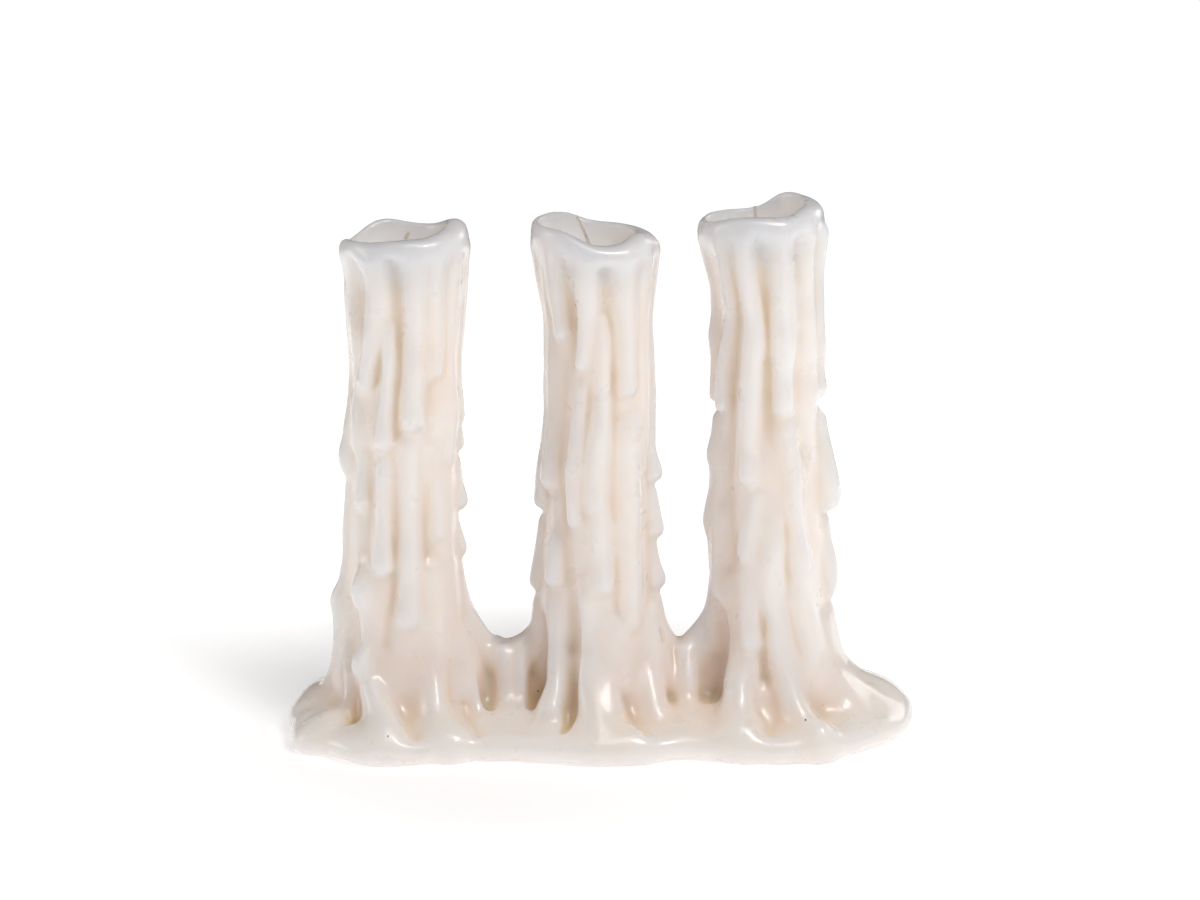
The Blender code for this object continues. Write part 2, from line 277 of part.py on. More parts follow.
# Thicker lumps on the pool: (x, y, z of the middle, half sizes in x, y and z)
LUMPS = (
    (-96.5, 7, 4, 16.0, 21, 11.0),
    (-101.8, -23, 3.5, 10.5, 13.5, 9.0),
    (-75, -37.5, 4, 11.0, 8.6, 9.4),
    (-53, -36.5, 4, 7.5, 8.4, 9.2),
    (-38, -31, 3, 8.0, 10, 7.2),
    (-16.5, -26.5, 3.5, 7.6, 10.0, 8.8),
    (-1, -35, 3, 10.0, 10, 7.6),
    (14, -38, 3.5, 8.0, 7.4, 8.8),
    (29, -27, 3.5, 12.0, 11, 8.0),
    (51.5, -35.5, 4, 9.5, 8.4, 10.8),
    (47, -27, 5, 6.0, 6.0, 12.0),
    (79, -38, 4, 6.8, 6.4, 10.2),
    (87, -12, 4, 17, 20, 10.6),
    (96.5, 5, 4, 19, 26, 12.8),
)

# Wicks: (x and y of the bore, then the free end's points (x, y, height), bottom to top)
WICKS = {
    "left":   ((-69.0, -2.0), ((-69.0, -2.0, 177.0), (-68.4, -2.0, 181.4), (-67.3, -2.0, 184.2))),
    "middle": ((-3.0, -3.0), ((-3.0, -3.0, 176.0), (-4.6, -2.7, 182.0), (-8.1, -2.0, 189.7))),
    "right":  ((55.6, 0.5), ((55.6, 0.5, 183.0), (55.1, 0.5, 188.0), (54.7, 0.5, 193.0))),
}
WICK_BOTTOM = 0.4

WAX_COLOUR = (0.80, 0.76, 0.68, 1.0)
WICK_COLOUR = (0.78, 0.74, 0.62, 1.0)


# ------------------------------------------------------------------ small helpers
def smooth_table(table, height):
    """Middle x and radius of a core at a height, eased between the table's rows."""
    if height <= table[0][0]:
        return table[0][1], table[0][2]
    for (z0, x0, r0), (z1, x1, r1) in zip(table, table[1:]):
        if height <= z1:
            t = (height - z0) / (z1 - z0)
            return x0 + (x1 - x0) * t, r0 + (r1 - r0) * t
    return table[-1][1], table[-1][2]


def lip_height(stem, angle):
    """Height of the lip at an angle: a smooth closed curve through the twelve table heights."""
    table = LIP[stem]
    u = ((angle + 180.0) / 30.0) % 12.0
    i = int(u)
    t = u - i
    a, b, c, d = (table[(i + k) % 12] for k in (-1, 0, 1, 2))
    return 0.5 * (2 * b + (c - a) * t + (2 * a - 5 * b + 4 * c - d) * t * t
                  + (3 * b - a - 3 * c + d) * t * t * t)


def smooth_path(points, steps=4):
    """Catmull-Rom curve through rows of numbers, with the end rows repeated."""
    rows = [points[0]] + list(points) + [points[-1]]
    path = []
    for a, b, c, d in zip(rows, rows[1:], rows[2:], rows[3:]):
        for s in range(steps):
            t = s / steps
            path.append(tuple(
                0.5 * (2 * q + (r - p) * t + (2 * p - 5 * q + 4 * r - w) * t * t
                       + (3 * q - p - 3 * r + w) * t * t * t)
                for p, q, r, w in zip(a, b, c, d)))
    path.append(tuple(points[-1]))
    return path


def foot_spread(stem, angle, height):
    """Extra radius of a stem's foot: full at the front, the back and the open flank, and little
    towards a neighbouring stem, where the web and its hollows are."""
    a = math.radians(angle)
    spread = math.cos(a) ** 2
    side = math.sin(a)
    if (stem == "left" and side < 0) or (stem == "right" and side > 0):
        spread = max(spread, 0.6 * side * side)
    return FLARE * spread * math.exp(-max(height, FLARE_LOW) / FLARE_FALL)


def on_stem(stem, angle, height, radius):
    """Point at a radius round a stem's core axis."""
    mid, _ = smooth_table(CORE[stem], height)
    a = math.radians(angle)
    return (mid + radius * math.sin(a), -radius * math.cos(a), height)


def drip_points(stem, table):
    """A drip's centre line with its radius, part sunk in the core so that its crest stands proud."""
    out = []
    for angle, height, half, crest in smooth_path(table):
        _, core = smooth_table(CORE[stem], height)
        out.append(on_stem(stem, angle, height, core + crest - half) + (half,))
    return out


def loft(bm, rings):
    """Skin a list of closed rings of points (mm), and cap both ends."""
    loops = [[bm.verts.new(Vector(p) * MM) for p in ring] for ring in rings]
    for low, high in zip(loops, loops[1:]):
        n = len(low)
        for i in range(n):
            j = (i + 1) % n
            bm.faces.new((low[i], low[j], high[j], high[i]))
    bm.faces.new(tuple(reversed(loops[0])))
    bm.faces.new(tuple(loops[-1]))


def new_object(name, bm):
    mesh = bpy.data.meshes.new(name)
    bmesh.ops.recalc_face_normals(bm, faces=bm.faces)
    bm.to_mesh(mesh)
    bm.free()
    obj = bpy.data.objects.new(name, mesh)
    bpy.context.scene.collection.objects.link(obj)
    return obj


def evaluated(obj):
    """Replace an object's mesh by the one that its modifiers give."""
    deps = bpy.context.evaluated_depsgraph_get()
    mesh = bpy.data.meshes.new_from_object(obj.evaluated_get(deps))
    obj.modifiers.clear()
    obj.data = mesh


def round_tube(curve, points):
    """Add a run of wax to a curve: a spline with a radius at each point and round ends."""
    first, second = Vector(points[0][:3]), Vector(points[1][:3])
    last, before = Vector(points[-1][:3]), Vector(points[-2][:3])
    head = (first - second).normalized()
    tail = (last - before).normalized()
    rows = []
    for t in (0.98, 0.8, 0.45):
        rows.append(tuple(first + head * points[0][3] * t) + (points[0][3] * math.sqrt(1 - t * t),))
    rows.extend(points)
    for t in (0.45, 0.8, 0.98):
        rows.append(tuple(last + tail * points[-1][3] * t) + (points[-1][3] * math.sqrt(1 - t * t),))
    spline = curve.splines.new("POLY")
    spline.points.add(len(rows) - 1)
    for point, (x, y, z, r) in zip(spline.points, rows):
        point.co = (x * MM, y * MM, z * MM, 1.0)
        point.radius = r
    spline.use_smooth = True


def stem_body(bm, stem, sides=72):
    """A stem as a turned form: flared foot, core, smooth band and rounded lip."""
    angles = [360.0 * i / sides - 180.0 for i in range(sides)]
    rings = []
    for height in (-4, 0, 3, 6, 9, 12, 16, 20, 25, 30, 38, 48, 60, 75, 90, 105, 120, 135, 150, 160):
        _, core = smooth_table(CORE[stem], height)
        rings.append([on_stem(stem, a, height, core + foot_spread(stem, a, height)) for a in angles])
    # the band swells out of the core, and its outer edge rolls over at the lip
    for drop, grow in ((BAND_HEIGHT + 6.0, 0.0), (BAND_HEIGHT + 2.0, 0.35), (BAND_HEIGHT - 2.0, 0.85), (LIP_CORNER[1] + 0.4, 1.0)):
        ring = []
        for a in angles:
            height = lip_height(stem, a) - drop
            _, core = smooth_table(CORE[stem], height)
            ring.append(on_stem(stem, a, height, core + (LIP_RADIUS - core) * grow))
        rings.append(ring)
    for k in range(7):
        turn = math.radians(15.0 * k)
        ring = []
        for a in angles:
            edge = LIP_CORNER[0] + (LIP_CORNER[1] - LIP_CORNER[0]) * (0.5 + 0.5 * math.sin(math.radians(a)))
            height = lip_height(stem, a) - edge + edge * math.sin(turn)
            ring.append(on_stem(stem, a, height, LIP_RADIUS - edge + edge * math.cos(turn)))
        rings.append(ring)
    # across the top, which the melt cup is sunk into afterwards
    rings.append([on_stem(stem, a, lip_height(stem, a) - 2.0, 12.0) for a in angles])
    loft(bm, rings)


def as_cutter(obj):
    obj.hide_render = True
    obj.display_type = "WIRE"
    return obj


def cup_cutter(stem, sides=64):
    """The melt cup's inside: a rounded floor, walls that lean out, and an opening set to the left."""
    bm = bmesh.new()
    angles = [360.0 * i / sides - 180.0 for i in range(sides)]
    floor = min(LIP[stem]) - CUP_DEPTH
    bowl = LIP_RADIUS - 2.0 * LIP_ROUND
    curve = CUP_DEPTH - LIP_ROUND          # height of the rounded part

    def place(angle, height):
        under = height - lip_height(stem, angle)
        t = min(max((under + CUP_LEAN) / CUP_LEAN, 0.0), 1.0)
        shift = CUP_SHIFT * t * t * (3.0 - 2.0 * t)
        low = min(max((floor + curve - height) / curve, 0.0), 1.0)
        round_part = CUP_FLOOR_RADIUS + (bowl - CUP_FLOOR_RADIUS) * math.sqrt(1.0 - low * low)
        reach = min(round_part, bowl - CUP_TAPER * min(max(-under - 1.5, 0.0), 20.0))
        mid, _ = smooth_table(CORE[stem], height)
        a = math.radians(angle)
        return (mid + shift + reach * math.sin(a), -reach * math.cos(a), height)

    rings = []
    for k in range(6):
        height = floor + curve * (1.0 - math.sin(math.radians(90.0 - 18.0 * k)))
        rings.append([place(a, height) for a in angles])
    for share in (0.35, 0.7, 1.0):
        rings.append([place(a, floor + curve + (lip_height(stem, a) - floor - curve) * share) for a in angles])
    for rise in (2.0, 8.0):
        rings.append([place(a, max(LIP[stem]) + rise) for a in angles])
    loft(bm, rings)
    return as_cutter(new_object("cut_cup_" + stem, bm))


def pool_body(bm):
    """The pool: its outline carried in along its section."""
    closed = [POOL_OUTLINE[-1]] + list(POOL_OUTLINE) + list(POOL_OUTLINE[:2])
    outline = []
    for a, b, c, d in zip(closed, closed[1:], closed[2:], closed[3:]):
        for s in range(4):
            t = s / 4
            outline.append(tuple(
                0.5 * (2 * q + (r - p) * t + (2 * p - 5 * q + 4 * r - w) * t * t
                       + (3 * q - p - 3 * r + w) * t * t * t)
                for p, q, r, w in zip(a, b, c, d)))
    rings = []
    for inset, height in POOL_SECTION:
        ring = []
        for x, y in outline:
            home = Vector((min(max(x, POOL_SPINE[0]), POOL_SPINE[1]), 0.0))
            out = Vector((x, y)) - home
            ring.append(tuple(home + out * (1.0 - inset / out.length)) + (height,))
        rings.append(ring)
    loft(bm, rings)


def lump(bm, row):
    """A rounded lump, as a stretched sphere."""
    x, y, z, half_x, half_y, half_z = row
    ball = bmesh.ops.create_uvsphere(bm, u_segments=32, v_segments=16, radius=1.0)
    for vert in ball["verts"]:
        vert.co = Vector((x + half_x * vert.co.x, y + half_y * vert.co.y, z + half_z * vert.co.z)) * MM


def tube_mesh(name, tables):
    """Many runs as one bevelled curve, whose splines swell and shrink with their radius."""
    curve = bpy.data.curves.new(name, "CURVE")
    curve.dimensions = "3D"
    curve.bevel_depth = MM
    curve.bevel_resolution = 3
    curve.use_fill_caps = True
    for points in tables:
        round_tube(curve, points)
    runs = bpy.data.objects.new(name, curve)
    bpy.context.scene.collection.objects.link(runs)
    bpy.context.view_layer.update()
    mesh = bpy.data.meshes.new_from_object(runs.evaluated_get(bpy.context.evaluated_depsgraph_get()))
    bpy.data.objects.remove(runs)
    return mesh


def hollow_cutter():
    """The valleys between drips and the hollows at the foot, as one skin to cut with."""
    tables = []
    for stem, valleys in VALLEYS.items():
        for table in valleys:
            tables.append(drip_points(stem, [(a, z, half, 2.0 * half - deep) for a, z, half, deep in table]))
    tables += [smooth_path(table) for table, _ in POCKETS]
    bm = bmesh.new()
    bm.from_mesh(tube_mesh("hollows", tables))
    cutter = new_object("cut_hollows", bm)
    skin = cutter.modifiers.new("skin", "REMESH")
    skin.mode = "VOXEL"
    skin.voxel_size = 0.8 * MM
    evaluated(cutter)
    return as_cutter(cutter)


def bore_cutter(stem):
    (x, y), _ = WICKS[stem]
    bm = bmesh.new()
    radius = WICK_RADIUS + WICK_GAP
    rings = [[(x + radius * math.cos(2 * math.pi * i / 16), y + radius * math.sin(2 * math.pi * i / 16), z)
              for i in range(16)] for z in (-12.0, min(LIP[stem]) + 4.0)]
    loft(bm, rings)
    return as_cutter(new_object("cut_bore_" + stem, bm))


def material(name, colour, roughness):
    mat = bpy.data.materials.new(name)
    mat.use_nodes = True
    shader = mat.node_tree.nodes["Principled BSDF"]
    shader.inputs["Base Color"].default_value = colour
    shader.inputs["Roughness"].default_value = roughness
    shader.inputs["Metallic"].default_value = 0.0
    mat.diffuse_color = colour
    return mat


# ------------------------------------------------------------------ the model
def build_wax():
    bm = bmesh.new()
    for stem in CORE:
        stem_body(bm, stem)
    pool_body(bm)
    for row in LUMPS:
        lump(bm, row)
    wax = new_object("wax_body", bm)

    # every drip and run
    tables = [drip_points(stem, table) for stem, drips in DRIPS.items() for table in drips]
    tables += [smooth_path(table) for table in RUNS]
    bm = bmesh.new()
    bm.from_mesh(wax.data)
    bm.from_mesh(tube_mesh("runs", tables))
    bmesh.ops.recalc_face_normals(bm, faces=bm.faces)
    bm.to_mesh(wax.data)
    bm.free()

    # melt the shapes into one skin, then sink the hollows and the cups
    remesh = wax.modifiers.new("melt", "REMESH")
    remesh.mode = "VOXEL"
    remesh.voxel_size = VOXEL * MM
    evaluated(wax)
    for cutter in [hollow_cutter()] + [cup_cutter(stem) for stem in CORE]:
        cut = wax.modifiers.new(cutter.name, "BOOLEAN")
        cut.operation = "DIFFERENCE"
        cut.solver = "EXACT"
        cut.object = cutter
    evaluated(wax)
    remesh = wax.modifiers.new("melt", "REMESH")
    remesh.mode = "VOXEL"
    remesh.voxel_size = VOXEL * MM
    ease = wax.modifiers.new("ease", "SMOOTH")
    ease.factor = 0.5
    ease.iterations = MELT_ROUNDS
    evaluated(wax)
    feet = wax.vertex_groups.new(name="feet")
    for vert in wax.data.vertices:
        share = min(max((FOOT_HEIGHT - vert.co.z / MM) / 16.0, 0.0), 1.0)
        if share > 0.0:
            feet.add([vert.index], share, "REPLACE")
    settle = wax.modifiers.new("settle", "SMOOTH")
    settle.factor = 0.5
    settle.iterations = FOOT_ROUNDS
    settle.vertex_group = "feet"
    thin = wax.modifiers.new("thin", "DECIMATE")
    thin.decimate_type = "COLLAPSE"
    thin.ratio = FACE_SHARE
    thin.use_collapse_triangulate = True
    evaluated(wax)

    # flat underside, and the three bores
    bm = bmesh.new()
    loft(bm, [[(-150, -90, z), (150, -90, z), (150, 90, z), (-150, 90, z)] for z in (-30, 0)])
    floor = as_cutter(new_object("cut_floor", bm))
    for cutter in [floor] + [bore_cutter(stem) for stem in CORE]:
        cut = wax.modifiers.new(cutter.name, "BOOLEAN")
        cut.operation = "DIFFERENCE"
        cut.solver = "EXACT"
        cut.object = cutter
    evaluated(wax)
    wax.data.shade_smooth()
    wax.data.set_sharp_from_angle(angle=math.radians(50.0))
    wax.data.materials.clear()
    wax.data.materials.append(material("ivory_wax", WAX_COLOUR, 0.36))
    return wax


def build_wick(stem, mat):
    (x, y), tip = WICKS[stem]
    curve = bpy.data.curves.new("wick_" + stem, "CURVE")
    curve.dimensions = "3D"
    curve.bevel_depth = WICK_RADIUS * MM
    curve.bevel_resolution = 2
    curve.use_fill_caps = True
    rows = [(x, y, WICK_BOTTOM), (x, y, 60.0), (x, y, 120.0), (x, y, tip[0][2] - 5.0)]
    rows += smooth_path(((x, y, tip[0][2] - 3.0),) + tip, 4)
    spline = curve.splines.new("POLY")
    spline.points.add(len(rows) - 1)
    for point, (px, py, pz) in zip(spline.points, rows):
        point.co = (px * MM, py * MM, pz * MM, 1.0)
    obj = bpy.data.objects.new("wick_" + stem, curve)
    bpy.context.scene.collection.objects.link(obj)
    curve.materials.append(mat)
    return obj


def main():
    for obj in list(bpy.data.objects):
        bpy.data.objects.remove(obj)
    build_wax()
    cotton = None
    for stem in CORE:
        cotton = material("cotton_" + stem, WICK_COLOUR, 0.9)
        build_wick(stem, cotton)


main()
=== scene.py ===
import math

import bpy
import numpy as np
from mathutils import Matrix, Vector


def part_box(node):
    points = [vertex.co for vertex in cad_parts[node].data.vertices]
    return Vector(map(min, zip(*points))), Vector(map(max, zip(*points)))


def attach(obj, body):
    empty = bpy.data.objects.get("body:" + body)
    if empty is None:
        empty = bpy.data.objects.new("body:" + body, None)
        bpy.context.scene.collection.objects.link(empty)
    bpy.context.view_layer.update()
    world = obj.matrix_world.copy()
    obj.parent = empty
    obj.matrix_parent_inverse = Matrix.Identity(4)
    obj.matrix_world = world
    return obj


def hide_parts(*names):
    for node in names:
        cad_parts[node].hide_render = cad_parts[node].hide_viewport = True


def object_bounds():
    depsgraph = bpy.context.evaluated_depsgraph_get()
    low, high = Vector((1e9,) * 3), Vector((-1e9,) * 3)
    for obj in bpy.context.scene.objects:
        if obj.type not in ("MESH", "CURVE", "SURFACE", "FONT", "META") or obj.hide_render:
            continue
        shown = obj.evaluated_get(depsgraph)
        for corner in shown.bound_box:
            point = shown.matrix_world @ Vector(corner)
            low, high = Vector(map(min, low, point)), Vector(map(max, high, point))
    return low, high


# Three dripped candle stems in one wax casting, standing in the pool they have run into.
# The tables are in millimetres and degrees: angle 0 is the front (-Y), +90 the +X side.
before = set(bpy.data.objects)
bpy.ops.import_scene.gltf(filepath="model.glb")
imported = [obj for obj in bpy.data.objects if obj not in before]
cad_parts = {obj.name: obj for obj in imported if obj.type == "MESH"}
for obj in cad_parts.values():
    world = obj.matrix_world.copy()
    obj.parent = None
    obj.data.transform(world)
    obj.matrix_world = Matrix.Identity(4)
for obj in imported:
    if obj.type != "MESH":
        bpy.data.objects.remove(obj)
cad_low, cad_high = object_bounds()
cad_low, cad_high = [float(v) for v in cad_low], [float(v) for v in cad_high]

# ------------------------------------------------------------------ driving dimensions
LIP_RADIUS = 22.2             # outer radius of the smooth band at each stem's top
LIP_ROUND = 2.3               # half the thickness of the rounded lip
BAND_HEIGHT = 9.0             # how far the smooth band reaches down from the lip
CUP_DEPTH = 12.5              # melt cup, below the lowest point of the lip
CUP_FLOOR_RADIUS = 10.5
WICK_RADIUS = 0.7
WICK_GAP = 0.3                # clearance round a wick in its bore
VOXEL = 1.1                   # grain of the melt that runs all the shapes together
MELT_ROUNDS = 5               # rounds of smoothing after it
FOOT_ROUNDS = 8               # further rounds on the feet and the pool, which set last
FOOT_HEIGHT = 34.0            # where they fade out
FACE_SHARE = 0.036            # share of the faces that the finished casting keeps
FLARE = 17.0                  # how far a stem's foot spreads at the floor
FLARE_FALL = 12.0             # height in which that spread falls to a third
FLARE_LOW = 6.0               # no further spread below this, inside the pool
LIP_CORNER = (1.4, 4.6)       # rounding of the lip's outer edge, at a stem's left and its right
CUP_SHIFT = -2.4              # the wicks burned towards the left walls, which are thin at the lip
CUP_LEAN = 16.0               # depth in which the cup comes back to the middle
CUP_TAPER = 0.24              # how much the cup's wall leans in, going down

# Each stem's core, which is the floor of the valleys between its drips:
# (height, middle x, radius)
CORE = {
    "left":   ((0, -73.0, 27.5), (10, -73.0, 25.5), (30, -72.8, 22.3), (60, -72.6, 19.8),
               (90, -71.6, 18.6), (120, -70.2, 18.6), (150, -69.6, 18.8), (180, -69.2, 19.6)),
    "middle": ((0, 0.0, 27.0), (10, -0.3, 25.5), (30, -0.8, 22.4), (60, -1.2, 19.8),
               (90, -0.8, 18.8), (120, -0.6, 18.0), (150, -0.6, 17.7), (180, -2.0, 19.3)),
    "right":  ((0, 62.5, 28.5), (10, 62.5, 26.8), (30, 62.4, 23.2), (60, 62.0, 20.4),
               (90, 61.4, 19.2), (120, 60.6, 17.9), (150, 60.0, 17.9), (180, 57.8, 19.6)),
}

# Height of the lip every 30 degrees round the stem, from -180 (the back) to 150
LIP = {
    "left":   (184.8, 185.9, 181.9, 181.0, 182.6, 183.0, 184.0, 184.4, 185.8, 187.6, 187.3, 185.2),
    "middle": (185.9, 188.6, 188.6, 188.2, 188.0, 186.6, 182.2, 181.7, 184.2, 184.2, 184.3, 184.8),
    "right":  (190.2, 189.4, 189.3, 188.6, 189.7, 191.3, 192.0, 191.9, 193.8, 194.6, 195.2, 195.4),
}

